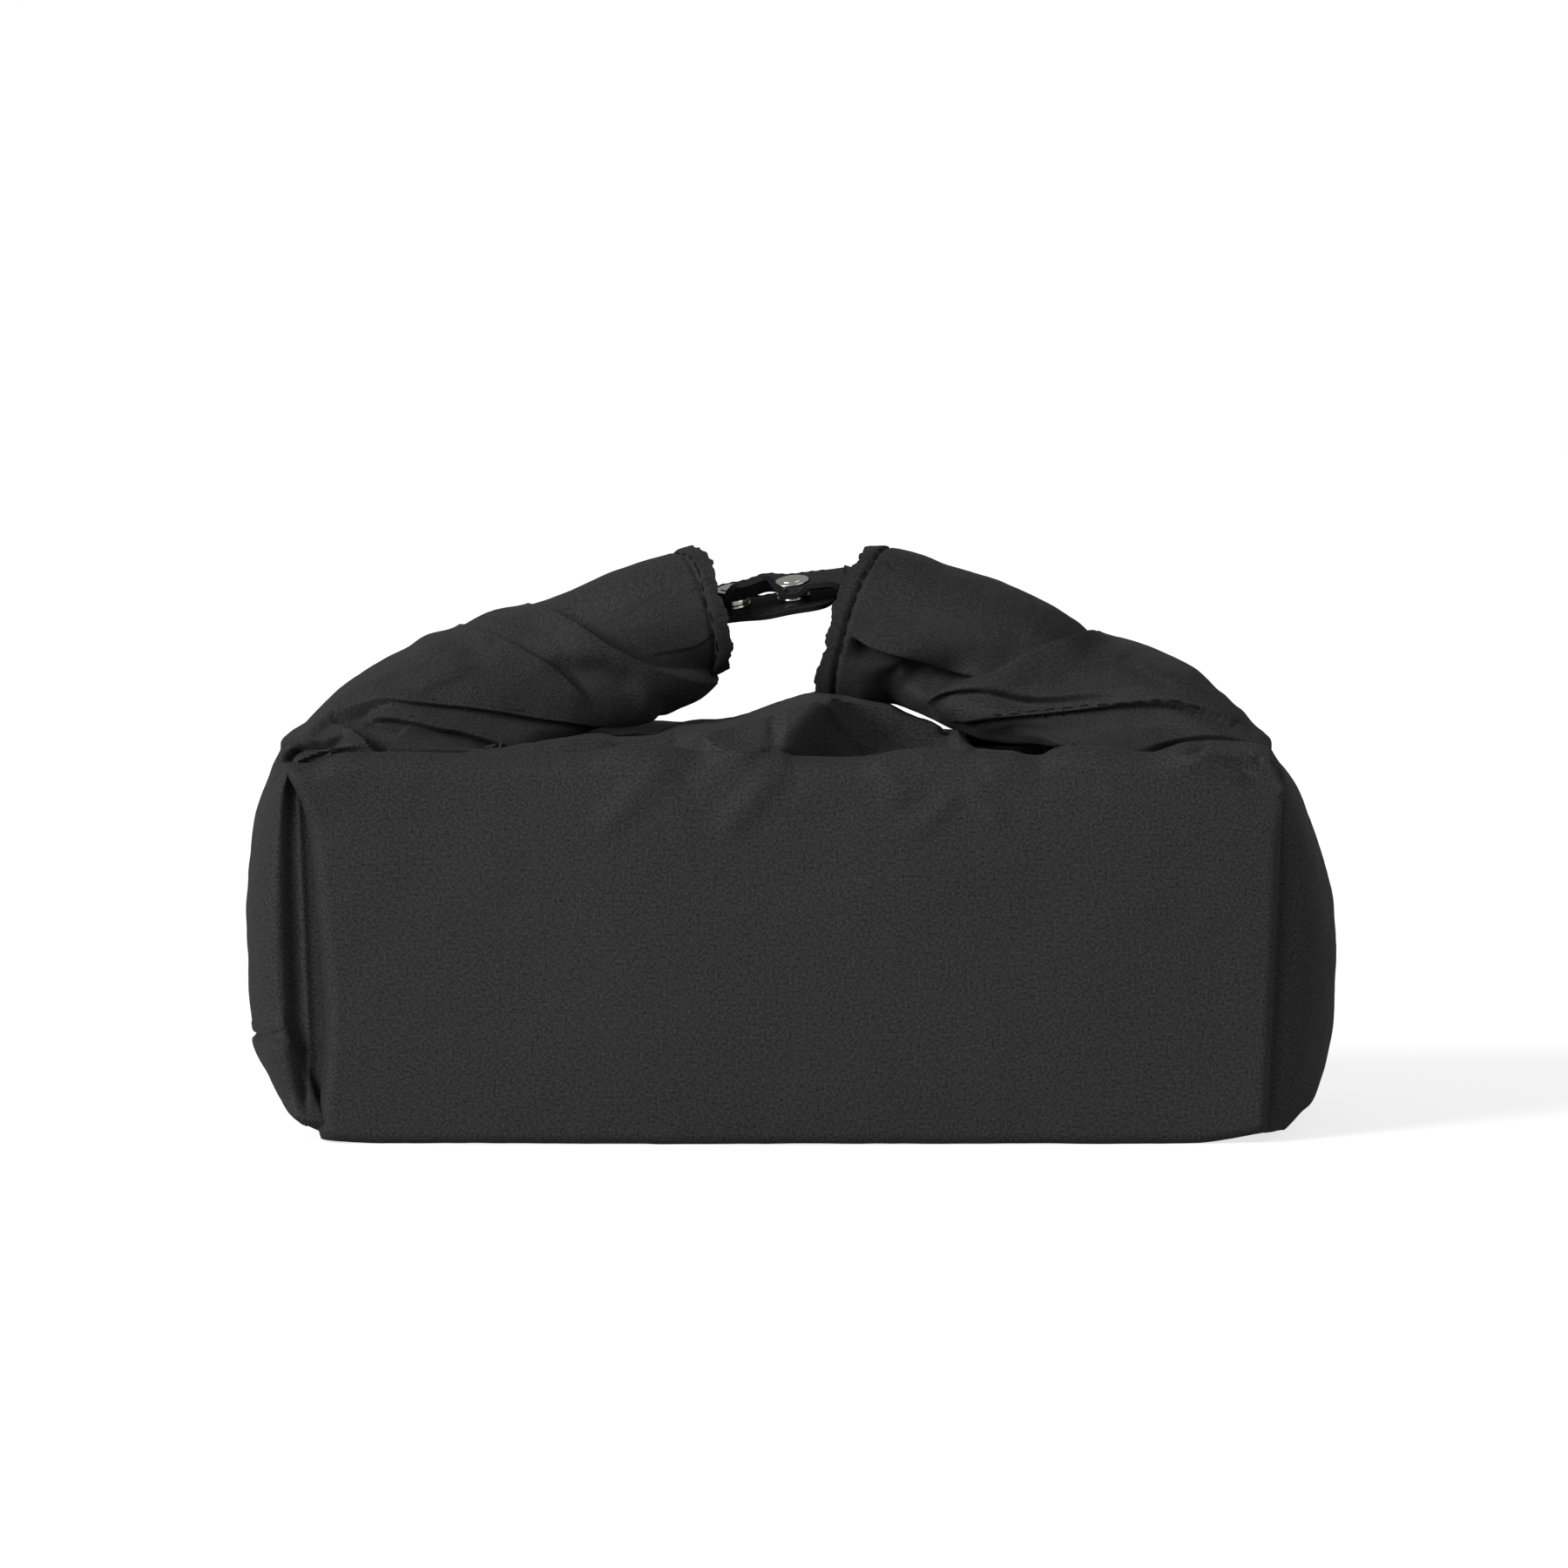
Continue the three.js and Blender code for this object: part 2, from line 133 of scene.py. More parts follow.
floor_half = 12
floor_lift = 0.75
floor_mesh = bpy.data.meshes.new("floor")
corners = [(-floor_half, -floor_half, 0), (floor_half, -floor_half, 0), (floor_half, floor_half, 0)]
floor_mesh.from_pydata([*corners, (-floor_half, floor_half, 0)], [], [(0, 1, 2, 3)])
floor = in_scene("floor", floor_mesh)


def new_material(name, inputs):
    """A material, with its node tree and its shader."""
    material = bpy.data.materials.new(name)
    material.use_nodes = True
    tree = material.node_tree
    return material, tree, feed(tree, tree.nodes["Principled BSDF"], inputs)


paper, paper_tree, paper_shader = new_material("floor_paper", {
    "Base Color": (0.45, 0.45, 0.45, 1), "Roughness": 0.9, "Specular IOR Level": 0.1,
    "Emission Color": white})
camera_ray = add_node(paper_tree, "ShaderNodeLightPath").outputs["Is Camera Ray"]
feed(paper_tree, paper_shader, {
    "Emission Strength": maths(paper_tree, "MULTIPLY", camera_ray, floor_lift)})
floor_mesh.materials.append(paper)

# Base panel: the rectangle of nylon that the bag stands on, sewn to the turned-under feet of the four
# walls. This section also holds the cloth itself: how a sheet of it is made and finished.
fold_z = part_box("front_panel")[1].z / mm
top_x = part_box("right_handle")[1].x / mm
mouth_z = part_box("right_handle")[1].z / mm
foot_x = 125
edge_radius = 6
foot_radius = 3
front_crown = 5
gusset_crown = 20
seam_y = -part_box("front_panel")[0].y / mm - front_crown
cloth = 0.9


def ease(x):
    """A soft step from 0 to 1."""
    x = np.clip(x, 0, 1)
    return x * x * (3 - 2 * x)


def squared(value, power):
    """A sine or cosine drawn towards the corners of a rounded square."""
    return np.sign(value) * np.abs(value) ** power


def run(line):
    """How far along a line of points each of them lies."""
    return np.concatenate([[0], np.linalg.norm(np.diff(line, axis=0), axis=1).cumsum()])


def outward(grid, wrapped=False):
    """Unit normals of a grid of points, from its columns turned towards its rows."""
    if wrapped:
        return outward(np.concatenate([grid[:, -1:], grid, grid[:, :1]], axis=1))[:, 1:-1]
    normal = np.cross(np.gradient(grid, axis=1), np.gradient(grid, axis=0))
    return normal / np.maximum(np.linalg.norm(normal, axis=2, keepdims=True), 1e-9)


def waver(grid, size, depth, seed):
    """Soft unevenness of cloth, as a height over each point of the grid."""
    flat = grid.reshape(-1, 3) / size + seed
    heights = [noise.fractal(p, 1.0, 2.1, 3) for p in flat.tolist()]
    return depth * np.array(heights).reshape(grid.shape[:2])


def sheet_mesh(name, skin, thickness, material, wrapped=False):
    """A closed sheet of cloth from a grid of points in millimetres, with its UV map in metres of cloth.
    Its inner face keeps every other row and column. Rows are odd in number, and so are columns unless
    it is wrapped round."""
    inner = (skin - outward(skin, wrapped) * thickness)[::2, ::2]
    points = np.concatenate([skin.reshape(-1, 3), inner.reshape(-1, 3)]) * mm
    numbers = np.arange(skin[..., 0].size).reshape(skin.shape[:2])
    inner_numbers = skin[..., 0].size + np.arange(inner[..., 0].size).reshape(inner.shape[:2])
    closed = np.concatenate([skin, skin[:, :1]], axis=1) if wrapped else skin
    across = np.linalg.norm(np.diff(closed, axis=1), axis=2).cumsum(axis=1)
    along = np.linalg.norm(np.diff(closed, axis=0), axis=2).cumsum(axis=0)
    u = np.pad(across, ((0, 0), (1, 0))) - across[:, -1:] / 2
    v = np.pad(along, ((1, 0), (0, 0)))
    wide = np.stack([u, v], axis=2) * mm
    if wrapped:
        numbers = np.concatenate([numbers, numbers[:, :1]], axis=1)
        inner_numbers = np.concatenate([inner_numbers, inner_numbers[:, :1]], axis=1)

    def cells(grid):
        around = [grid[:-1, :-1], grid[:-1, 1:], grid[1:, 1:], grid[1:, :-1]]
        return np.stack(around, axis=2).reshape(-1, 4, *grid.shape[2:])

    faces = [cells(numbers), cells(inner_numbers)[:, ::-1]]
    uv = [cells(wide), cells(wide[::2, ::2])[:, ::-1]]
    rims = [(numbers[0], inner_numbers[0], -1), (numbers[-1], inner_numbers[-1], 1)]
    if not wrapped:
        rims += [(numbers[:, 0], inner_numbers[:, 0], 1), (numbers[:, -1], inner_numbers[:, -1], -1)]
    for outer, behind, turn in rims:
        rim = np.stack([outer[:-2:2], outer[1:-1:2], outer[2::2], behind[1:], behind[:-1]], axis=1)
        faces.append(rim[:, ::turn])
        edge_uv = np.array([[0, 0], [0.5, 0], [1, 0], [1, 1], [0, 1]]) * cloth * mm
        uv.append(np.broadcast_to(edge_uv[::turn], (len(rim), 5, 2)))
    sizes = np.concatenate([np.full(len(face), face.shape[1]) for face in faces])
    mesh = bpy.data.meshes.new(name)
    mesh.vertices.add(len(points))
    mesh.vertices.foreach_set("co", points.ravel())
    mesh.loops.add(int(sizes.sum()))
    mesh.loops.foreach_set("vertex_index", np.concatenate([face.ravel() for face in faces]))
    mesh.polygons.add(len(sizes))
    mesh.polygons.foreach_set("loop_start", np.concatenate([[0], sizes.cumsum()[:-1]]))
    mesh.uv_layers.new(name="cloth").data.foreach_set("uv", np.concatenate([part.ravel() for part in uv]))
    mesh.update(calc_edges=True)
    mesh.validate()
    mesh.polygons.foreach_set("use_smooth", np.ones(len(mesh.polygons), bool))
    mesh.set_sharp_from_angle(angle=math.radians(70))
    mesh.materials.append(material)
    return in_scene(name, mesh)


def weave_group():
    """Plain weave with uneven yarns: a tone to multiply the colour by, and a height for the bump."""
    group = bpy.data.node_groups.new("weave", "ShaderNodeTree")
    socket = group.interface.new_socket
    for title, value in (("Threads", 1700.0), ("Mottle", 0.1), ("Shade", 0.06)):
        socket(title, in_out="INPUT", socket_type="NodeSocketFloat").default_value = value
    for title in ("Tone", "Height"):
        socket(title, in_out="OUTPUT", socket_type="NodeSocketFloat")
    given, out = add_node(group, "NodeGroupInput").outputs, add_node(group, "NodeGroupOutput")
    place = add_node(group, "ShaderNodeTexCoord").outputs
    scale = maths(group, "MULTIPLY", given["Threads"], math.pi / 10)
    bands = [add_node(group, "ShaderNodeTexWave", {
        "Distortion": 1.2, "Detail": 1.0, "Detail Scale": 0.4, "Scale": scale, "Vector": place["UV"]},
        bands_direction=direction).outputs["Fac"] for direction in ("X", "Y")]
    grain = add_node(group, "ShaderNodeTexNoise", {
        "Detail": 3, "Scale": given["Threads"], "Vector": place["UV"]}).outputs["Fac"]
    cloud = add_node(group, "ShaderNodeTexNoise", {
        "Detail": 4, "Scale": 24, "Vector": place["Object"]}).outputs["Fac"]
    yarns = maths(group, "MULTIPLY", *bands)
    uneven = maths(group, "MULTIPLY", maths(group, "SUBTRACT", grain, 0.5),
                   maths(group, "MULTIPLY", given["Mottle"], 4))
    shade = maths(group, "MULTIPLY", maths(group, "SUBTRACT", cloud, 0.5),
                  maths(group, "MULTIPLY", given["Shade"], 4))
    feed(group, out, {"Tone": maths(group, "ADD", maths(group, "ADD", uneven, 1), shade),
                      "Height": maths(group, "ADD", maths(group, "MULTIPLY", yarns, 0.3), grain)})
    return group


weave = weave_group()


def cloth_finish(name, colour, roughness, threads, mottle, relief, sheen, gloss=0.25):
    """A woven material: colour under the weave's tone, and its height as a bump."""
    material, tree, shader = new_material(name, {
        "Roughness": roughness, "Specular IOR Level": gloss, "Sheen Weight": sheen, "Sheen Roughness": 0.5})
    pattern = add_node(tree, "ShaderNodeGroup", {"Threads": threads, "Mottle": mottle}, node_tree=weave)
    tint = add_node(tree, "ShaderNodeMix", {0: 1, 6: (*colour, 1), 7: pattern.outputs["Tone"]},
                    data_type="RGBA", blend_type="MULTIPLY")
    bump = add_node(tree, "ShaderNodeBump", {
        "Distance": relief * mm, "Strength": 1, "Height": pattern.outputs["Height"]})
    feed(tree, shader, {"Base Color": tint.outputs[2], "Normal": bump.outputs["Normal"]})
    return material


def charcoal(name, colour):
    """The bag's own nylon in the colour given: its own tone, or a darker copy of it."""
    return cloth_finish(name, colour, 0.7, 1400, 0.8, 0.14, 0.02, 0.14)


nylon = charcoal("charcoal_nylon", (0.0215, 0.0215, 0.0227))


def dress(piece, slot, body, *nodes):
    """The piece stands for these nodes, which are hidden, and moves with that body; slot is not used."""
    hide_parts(*nodes)
    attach(piece, body)


def seam_x(z):
    """How far from the middle the corner seams stand, at a height."""
    return foot_x + (top_x - foot_x) * z / fold_z


def swell(z):
    """How much of its full bulge a wall has at a height."""
    rise = np.clip((z + 12) / (fold_z + 12), 0, 1)
    return 1 - np.abs(2 * rise - 1) ** 3


def foot_lift(x):
    """How far the foot of the bag is rounded up off the floor, along its length."""
    return np.where(x < 0, 0.9, 2.8) * ease((np.abs(x) - 106) / 22)


def slab(name, half_x, half_y, z, thickness, material, count=(61, 29), round_corner=5):
    """A flat sheet lying level, with its corners rounded."""
    s, t = np.meshgrid(np.linspace(-1, 1, count[0]), np.linspace(-1, 1, count[1]))
    cut = round_corner * (np.abs(s) ** 12) * (np.abs(t) ** 12) * (1 - 0.5 ** 0.5)
    x = s * half_x - np.sign(s) * cut
    grid = np.stack([x, t * half_y - np.sign(t) * cut, z + thickness + foot_lift(x)], axis=2)
    return sheet_mesh(name, grid, thickness, material), grid


base_high = np.array(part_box("base_panel")[1]) / mm
base_off_floor = 0.05
base_cloth, base_skin = slab("base_cloth", base_high[0] - 9, base_high[1] - 3, base_off_floor, cloth, nylon,
                             (91, 41), 14)
dress(base_cloth, "nylon", "bag", "base_panel")

# Base foam and base board: a foam pad with a thin plastic stiffener on it, loose between the base panel and
# the lining, so that the bag stands flat.
foam_finish = cloth_finish("white_foam", (0.74, 0.74, 0.7), 0.9, 900, 0.03, 0.1, 0.0)
board_finish = cloth_finish("black_board", (0.02, 0.02, 0.021), 0.55, 2500, 0.05, 0.03, 0.0)
short_of_gussets = 14
foam_low, foam_high = (np.array(corner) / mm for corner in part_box("base_foam"))
pad_thickness = foam_high[2] - foam_low[2]
base_pad = slab("base_pad", foam_high[0] - short_of_gussets, foam_high[1], foam_low[2], pad_thickness,
                foam_finish)[0]
dress(base_pad, "foam", "bag", "base_foam")
board_low, board_high = (np.array(corner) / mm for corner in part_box("base_board"))
board_thickness = board_high[2] - board_low[2]
stiffener = slab("stiffener", board_high[0] - short_of_gussets, board_high[1], board_low[2],
                 board_thickness, board_finish)[0]
dress(stiffener, "board", "bag", "base_board")

# Front and back panels: each a rectangle of nylon, turned under at the foot, rolled in to the corner seams
# and folded over along the top, where pulls from the handles and the flap make shallow wrinkles.
seam_roll = 2.6


def wall_path(count, folds_over=True):
    """Insets and heights up a wall, at equal steps along its cloth."""
    quarter = np.linspace(0, math.pi / 2, 12)
    foot = [(foot_radius - foot_radius * math.sin(a), foot_radius - foot_radius * math.cos(a))
            for a in quarter]
    head_z = fold_z - edge_radius
    head = [(edge_radius - edge_radius * math.cos(a), head_z + edge_radius * math.sin(a)) for a in quarter]
    path = np.array(foot + (head if folds_over else [(0, fold_z)]))
    length = run(path)
    steps = np.linspace(0, length[-1], count)
    return np.interp(steps, length, path[:, 0]), np.interp(steps, length, path[:, 1])


def rolled(distance, radius):
    """How far a cloth has turned in, at a distance from the seam that it rolls down to."""
    return radius - np.sqrt(np.maximum(radius ** 2 - np.maximum(radius - distance, 0) ** 2, 0))


def runs_up(x, side):
    """Where the front's cloth runs straight up into the flap's peak, from 0 to 1, and isn't folded over."""
    middle, reach = -13, 14
    return ease(1 - np.abs(x - middle) / reach) if side < 0 else np.zeros(x.shape)


# Half widths of the front panel to its left edge, which rolls back into a deep corner valley
left_edge = np.array([
    (0, 123), (4, 123.8), (8, 124), (14, 123.5), (23, 122.5), (35, 122.3), (49, 123.3), (63, 124.5),
    (74, 125.4), (80, 126), (86, 127), (91.6, 128.6), (95.7, 130.6), (99, 132.3), (103, 133.6)]).T


def front_wall(columns, rows, fold_rise, inset_by=0.0, side=-1):
    """The front wall, or the back one where side is 1, seen from outside with its columns left to right."""
    inset, z = wall_path(rows)
    s = np.linspace(-1, 1, columns)
    s = np.sign(s) * (1 - (1 - np.abs(s)) ** 1.5)
    s, inset = np.meshgrid(s, inset)
    z = np.repeat(z[:, None], columns, axis=1)
    edge = seam_x(z) - 0.3
    front_left = (s < 0) & (side < 0)
    edge = np.where(front_left, np.interp(z, *left_edge), edge)
    # The front's right-hand edge is drawn in towards its top
    edge = edge - 4 * ease((z - 96) / 9) * ((s > 0) & (side < 0))
    x = s * edge
    from_seam = (1 - np.abs(s)) * edge
    plain_roll = rolled(from_seam, seam_roll)
    # The front's left-hand edge rolls back deep into the corner, but less at its foot and its top
    in_valley = ease((z - 2) / 12) * ease((104 - z) / 9)
    valley_roll = 5 * ease(1 - from_seam / 2.6) ** 1.5 * in_valley + 0.9 * rolled(from_seam, 5)
    plain_roll = plain_roll * (1 - 0.7 * ease((z - 78) / 14))
    inset = inset * (1 - runs_up(x, side) * (z > fold_z / 2))
    deep = inset + inset_by + np.where(front_left, valley_roll, plain_roll)
    y = seam_y - deep + front_crown * swell(z) * (1 - s * s)
    z = z - inset_by * np.clip((z - fold_z + edge_radius) / edge_radius, 0, 1)
    # The rise and fall of the top edge fades out over the wall's upper third
    fade_depth = 34
    z = z + np.interp(-side * x, *fold_rise) * ease((z - fold_z + fade_depth) / fade_depth)
    z = z + foot_lift(-side * x) * ease((12 - z) / 12)
    return np.stack([-side * x, side * y, z], axis=2)


def smooth_line(places, steps=8):
    """A curve through a few places."""
    p = np.array(places, float)
    p = np.vstack([2 * p[0] - p[1], p, 2 * p[-1] - p[-2]])
    k = np.linspace(0, 1, steps, endpoint=False)[:, None]
    spans = [0.5 * (2 * b + (c - a) * k + (2 * a - 5 * b + 4 * c - d) * k ** 2
                    + (3 * b - a - 3 * c + d) * k ** 3) for a, b, c, d in zip(p, p[1:], p[2:], p[3:])]
    return np.vstack([*spans, p[-2:-1]])


def beside(spots, line):
    """Distance from each spot to a line, above 0 on its left, how far along the line that is from 0 to
    1, and the direction away from the line."""
    best = np.full(spots.shape[:-1], np.inf)
    signed, share = np.zeros(best.shape), np.zeros(best.shape)
    away = np.zeros(spots.shape)
    pieces = np.diff(line, axis=0)
    lengths = np.linalg.norm(pieces, axis=1)
    before = np.concatenate([[0], lengths.cumsum()])
    for start, piece, length, done in zip(line, pieces, lengths, before):
        to = spots - start
        k = np.clip((to @ piece) / length ** 2, 0, 1)
        gap = to - k[..., None] * piece
        distance = np.linalg.norm(gap, axis=-1)
        nearer = distance < best
        left = np.where(piece[0] * to[..., 1] - piece[1] * to[..., 0] >= 0, 1, -1)
        best = np.where(nearer, distance, best)
        signed = np.where(nearer, distance * left, signed)
        share = np.where(nearer, (done + k * length) / before[-1], share)
        turned = np.array([-piece[1], piece[0]]) / length
        away[nearer] = turned
    return signed, share, away


def lay_fold(grid, normal, weight, places, height, width, cliff=1.1, lip=0.0, hollow=0.0, trough=5.0,
             ends=(0.15, 0.15)):
    """Moves cloth into a fold along a line that is given as it looks from the front. The cloth on the
    line's left stands proud by height and sinks back over width. On its right it drops within cliff,
    into a hollow that rises again over trough. The lip hangs over the drop."""
    signed, share, away = beside(seen(grid), smooth_line(places))
    fade = ease(share / ends[0]) * ease((1 - share) / ends[1]) * weight
    drop = ease(-signed / cliff)
    raised = height * np.exp(-(np.maximum(signed, 0) / width) ** 2) * (1 - drop)
    sunk = hollow * np.exp(-(np.minimum(signed + cliff, 0) / trough) ** 2) * drop
    over = lip * np.exp(-(np.maximum(signed, 0) / (2.5 * lip + 0.1)) ** 2) * (1 - drop) * fade
    moved = grid + normal * ((raised - sunk) * fade)[..., None]
    moved[..., 0] -= away[..., 0] * over
    moved[..., 2] -= away[..., 1] * over
    return moved


def swell_along(grid, normal, weight, places, height, width, ends=(0.3, 0.3)):
    """Lifts cloth in a soft ridge along a line, or sinks it where height is below 0."""
    signed, share, away = beside(seen(grid), smooth_line(places))
    fade = ease(share / ends[0]) * ease((1 - share) / ends[1]) * weight
    return grid + normal * (height * np.exp(-(signed / width) ** 2) * fade)[..., None]


front_fold_rise = np.array([
    (-133, -3), (-130, -3), (-127, -3.3), (-124, -3.2), (-121.5, -2.3), (-119, -1), (-116, -0.5),
    (-106, -0.4), (-80, -0.8), (-62, -1.1), (-52, -0.7), (-43, 1.2), (-35, 1.6), (-30, 1), (-24, -0.2),
    (-14, -0.3), (-2, -0.5), (1, -1.4), (22, -1.4), (28, 0.2), (35, 0.9), (46, -0.1), (51, 0.2),
    (61, -1.2), (65, -1.7), (69, 0.6), (73, 1.2), (80, 1.2), (87, 0.1), (94, -0.7), (96.2, -0.4),
    (100, 0.9), (102.8, 2), (106, 2.6), (109.6, 3), (114, 3), (118.2, 2.6), (122, 1.8), (125, 0.7),
    (126.4, -1.4), (127.5, -3), (129, -5)]).T
back_fold_rise = np.array([
    (-129, -4), (-110, -0.5), (-60, 1.6), (-35, 2.2), (-17, 1.1), (10, 0.2), (39, -0.5), (60, -1),
    (110, -0.8), (129, -5)]).T

front_skin = front_wall(401, 181, front_fold_rise)
front_normal = outward(front_skin)
upper_part = ease((front_skin[..., 2] - 40) / 50)
# Ridges and dents: places, height and width
front_swells = [
    ([(-54, 75), (-49, 80), (-43.5, 85.5), (-38.5, 91), (-33, 98)], 0.8, 4),
    ([(-21, 73), (-14.5, 81.5), (-8.5, 88.5), (-4.5, 94), (-4, 101)], 1.0, 4),
    ([(30, 83), (32.5, 79.5), (36, 79), (40, 83), (47, 91.5)], 0.7, 3),
    ([(46, 92), (51, 88), (55, 84), (60, 79)], 0.7, 3),
    ([(-32, 90), (-26, 95), (-22, 101)], -0.8, 5),
    ([(-12, 101), (-3, 93), (4, 86)], -0.6, 5),
    ([(20, 99), (27, 92), (32, 84)], 0.8, 4),
    ([(52, 92), (57, 95), (64, 99)], 0.6, 4),
    ([(66, 99), (75, 93), (88, 91)], -0.5, 5),
]
# Folds at the right-hand top corner: places, height, width, hollow and its reach
corner_folds = [
    ([(125.7, 91.2), (122.9, 92.6), (116, 95.4), (109.7, 97.5), (103.6, 98.2)], 0.9, 3, 1.3, 3),
    ([(127.2, 95.4), (123.7, 97.5), (118.8, 99.2), (113.3, 99.2), (107.7, 97.8)], 1.1, 2, 2.2, 2),
    ([(131, 86.7), (133.2, 90), (133.9, 93), (132.5, 95), (130, 96.5)], 0.6, 2, 0.4, 3),
]
for places, height, width in front_swells:
    front_skin = swell_along(front_skin, front_normal, upper_part, places, height, width)
for places, height, width, hollow, trough in corner_folds:
    front_skin = lay_fold(front_skin, front_normal, 1, places, height, width, 1.2, 0.2, hollow, trough,
                          (0.25, 0.25))
uneven = waver(front_skin, 42, 0.55, 3.1) * (0.35 + 0.65 * upper_part) + waver(front_skin, 11, 0.12, 9.7)
front_skin = front_skin + front_normal * uneven[..., None]
front_cloth = sheet_mesh("front_cloth", front_skin, cloth, nylon)
dress(front_cloth, "nylon", "bag", "front_panel")

back_skin = front_wall(241, 101, back_fold_rise, side=1)
back_normal = outward(back_skin)
for places in ([(-70, 70), (-50, 84), (-34, 99)], [(60, 66), (44, 82), (30, 99)]):
    back_skin = lay_fold(back_skin, back_normal, 1, places, 0.8, 6, 4, ends=(0.35, 0.2))
uneven = waver(back_skin, 38, 0.8, 17.3) + waver(back_skin, 11, 0.14, 5.2)
back_skin = back_skin + back_normal * uneven[..., None]
back_cloth = sheet_mesh("back_cloth", back_skin, cloth, nylon)
dress(back_cloth, "nylon", "bag", "back_panel")

# Side gussets: a nylon panel at each end, sewn to the front and back in the corner seams, with more cloth
# than the corners need, so that it swells out past them. At the left the cloth folds forward beside the
# seam and leaves a deep valley, and its foot is tucked in under a slanting crease.
back_of_gusset = [(-55.6, -0.6), (-52, 0.6), (-48.5, 2.4), (-46, 5.5), (-43.5, 10), (-38, 14.6),
                  (-28, 18), (-14, 19.7)]
front_of_gusset = {
    -1: [(-53.4, -9), (-52.9, -4), (-52.9, -1.4), (-53.6, 0.2), (-53, 1.6), (-53.3, 3.6), (-54.9, 5.4),
         (-55.8, 7.2), (-54.8, 9.4), (-51, 12.2), (-45, 15), (-35, 17.9), (-20, 19.6)],
    1: [(-57, -5), (-56.6, -0.8), (-56, 0.3), (-55.7, 2), (-54.4, 4.6), (-51.8, 8), (-47.5, 11.4),
        (-41, 14.6), (-31, 17.5), (-17, 19.5)],
}
corners_in = 3.5
# How full each gusset is at a few heights, where 1 is its full swell
fullness = {
    -1: [(0, 0.26), (3.3, 0.33), (11, 0.58), (23.3, 0.9), (25.8, 0.81), (27.8, 0.87), (30.7, 0.9),
         (42, 0.925), (54, 0.92), (62.7, 0.895), (73.5, 0.825), (82.3, 0.745), (88.4, 0.65), (96, 0.5),
         (100.3, 0.38), (103, 0.29)],
    1: [(0, 0.45), (4.7, 0.66), (8.2, 0.8), (15.7, 0.925), (25.3, 0.985), (37.3, 1), (49.3, 0.97),
        (63.6, 0.89), (75.6, 0.71), (85.3, 0.49), (90.4, 0.36), (93.4, 0.27), (96.3, 0.15), (98.9, 0.02),
        (103, -0.14)],
}


def gusset_out(side, y):
    """How far the gusset would stand out past its seams where it is fullest, at a distance to the back."""
    back = [(-b, out) for b, out in reversed(back_of_gusset)]
    places = np.array([*front_of_gusset[side][-6:], (0, 20), *back])
    return np.interp(y, places[:, 0], places[:, 1])


def gusset_wall(side, columns, rows, inset_by=0.0):
    """The end wall on the side given, -1 for the left, seen from outside with its columns left to right."""
    inset, z = wall_path(rows, folds_over=False)
    back = [(-y, out) for y, out in reversed(back_of_gusset)]
    plan = np.array([*front_of_gusset[side], (0, 20), *back])
    if side < 0:
        plan = plan[::-1] * [-1, 1]
    plan = smooth_line(plan)
    length = run(plan)
    steps = np.linspace(0, length[-1], columns)
    y = np.interp(steps, length, plan[:, 0])
    out = np.interp(steps, length, plan[:, 1])
    y, z = np.meshgrid(y, z)
    out, inset = np.meshgrid(out, inset)
    full = np.interp(z, *smooth_line(fullness[side]).T)
    y = y * (1 + 0.03 * (1 - full))
    # The left one's foot is led out to its corners, and its top corner at the front sinks
    if side < 0:
        level_with_foot = np.sign(y) * (59.2 - 2.4 * ease(1 - z / 3))
        y = y + (level_with_foot - y) * ease((np.abs(y) - 42) / 8) * ease((14 - z) / 11)
        under_roll = 5 * ease((z - 88) / 15) * ease((y - 43) / 8)
    along_foot = inset * np.clip(1 - np.abs(y) / 70, 0.4, 1)
    x = seam_x(z) + np.where(out > 0, out * full, out) - along_foot
    # The foot lifts towards its corners, and where the cloth swells out over it
    z = z + 2.6 * ease((np.abs(y) - 34) / 20) * ease((14 - z) / 14)
    z = z + (3.6 if side < 0 else 2.4) * ease((x - (121 if side < 0 else 127)) / 9) * ease((10 - z) / 10)
    # The right one's top corners are drawn in
    x = x - corners_in * ease((z - 96) / 8) * ease((np.abs(y) - 35) / 15) * (side > 0)
    if side < 0:
        z = z - under_roll * ease((x - 118) / 10)
    grid = np.stack([side * x, side * y, z], axis=2)
    return grid - outward(grid) * inset_by


for side, title in ((-1, "left"), (1, "right")):
    gusset_skin = gusset_wall(side, 261, 161)
    gusset_normal = outward(gusset_skin)
    bulging = ease((np.abs(gusset_skin[..., 0]) - seam_x(gusset_skin[..., 2]) - 3) / 5)
    uneven = waver(gusset_skin, 30, 0.9, 20 + side) * bulging + waver(gusset_skin, 9, 0.12, 40 + side)
    gusset_skin = gusset_skin + gusset_normal * uneven[..., None]
    if side < 0:
        facing_front = ease((8 - gusset_skin[..., 1]) / 20)
        foot_crease = [(-146, 25.2), (-143, 23.6), (-139, 24.2), (-134, 27)]
        gusset_skin = lay_fold(gusset_skin, gusset_normal, facing_front, foot_crease, 0.3, 4, 1, 0.2, 0.45,
                               1.4, (0.02, 0.6))
        foot_fold = [(-126, -2), (-129, 6), (-132, 14), (-136, 22), (-138, 32)]
        gusset_skin = lay_fold(gusset_skin, gusset_normal, facing_front, foot_fold, 0.9, 7, 2, 0, 0.6, 3,
                               (0.1, 0.3))
    gusset_cloth = sheet_mesh(f"{title}_gusset_cloth", gusset_skin, cloth, nylon)
    dress(gusset_cloth, "nylon", "bag", f"{title}_gusset")

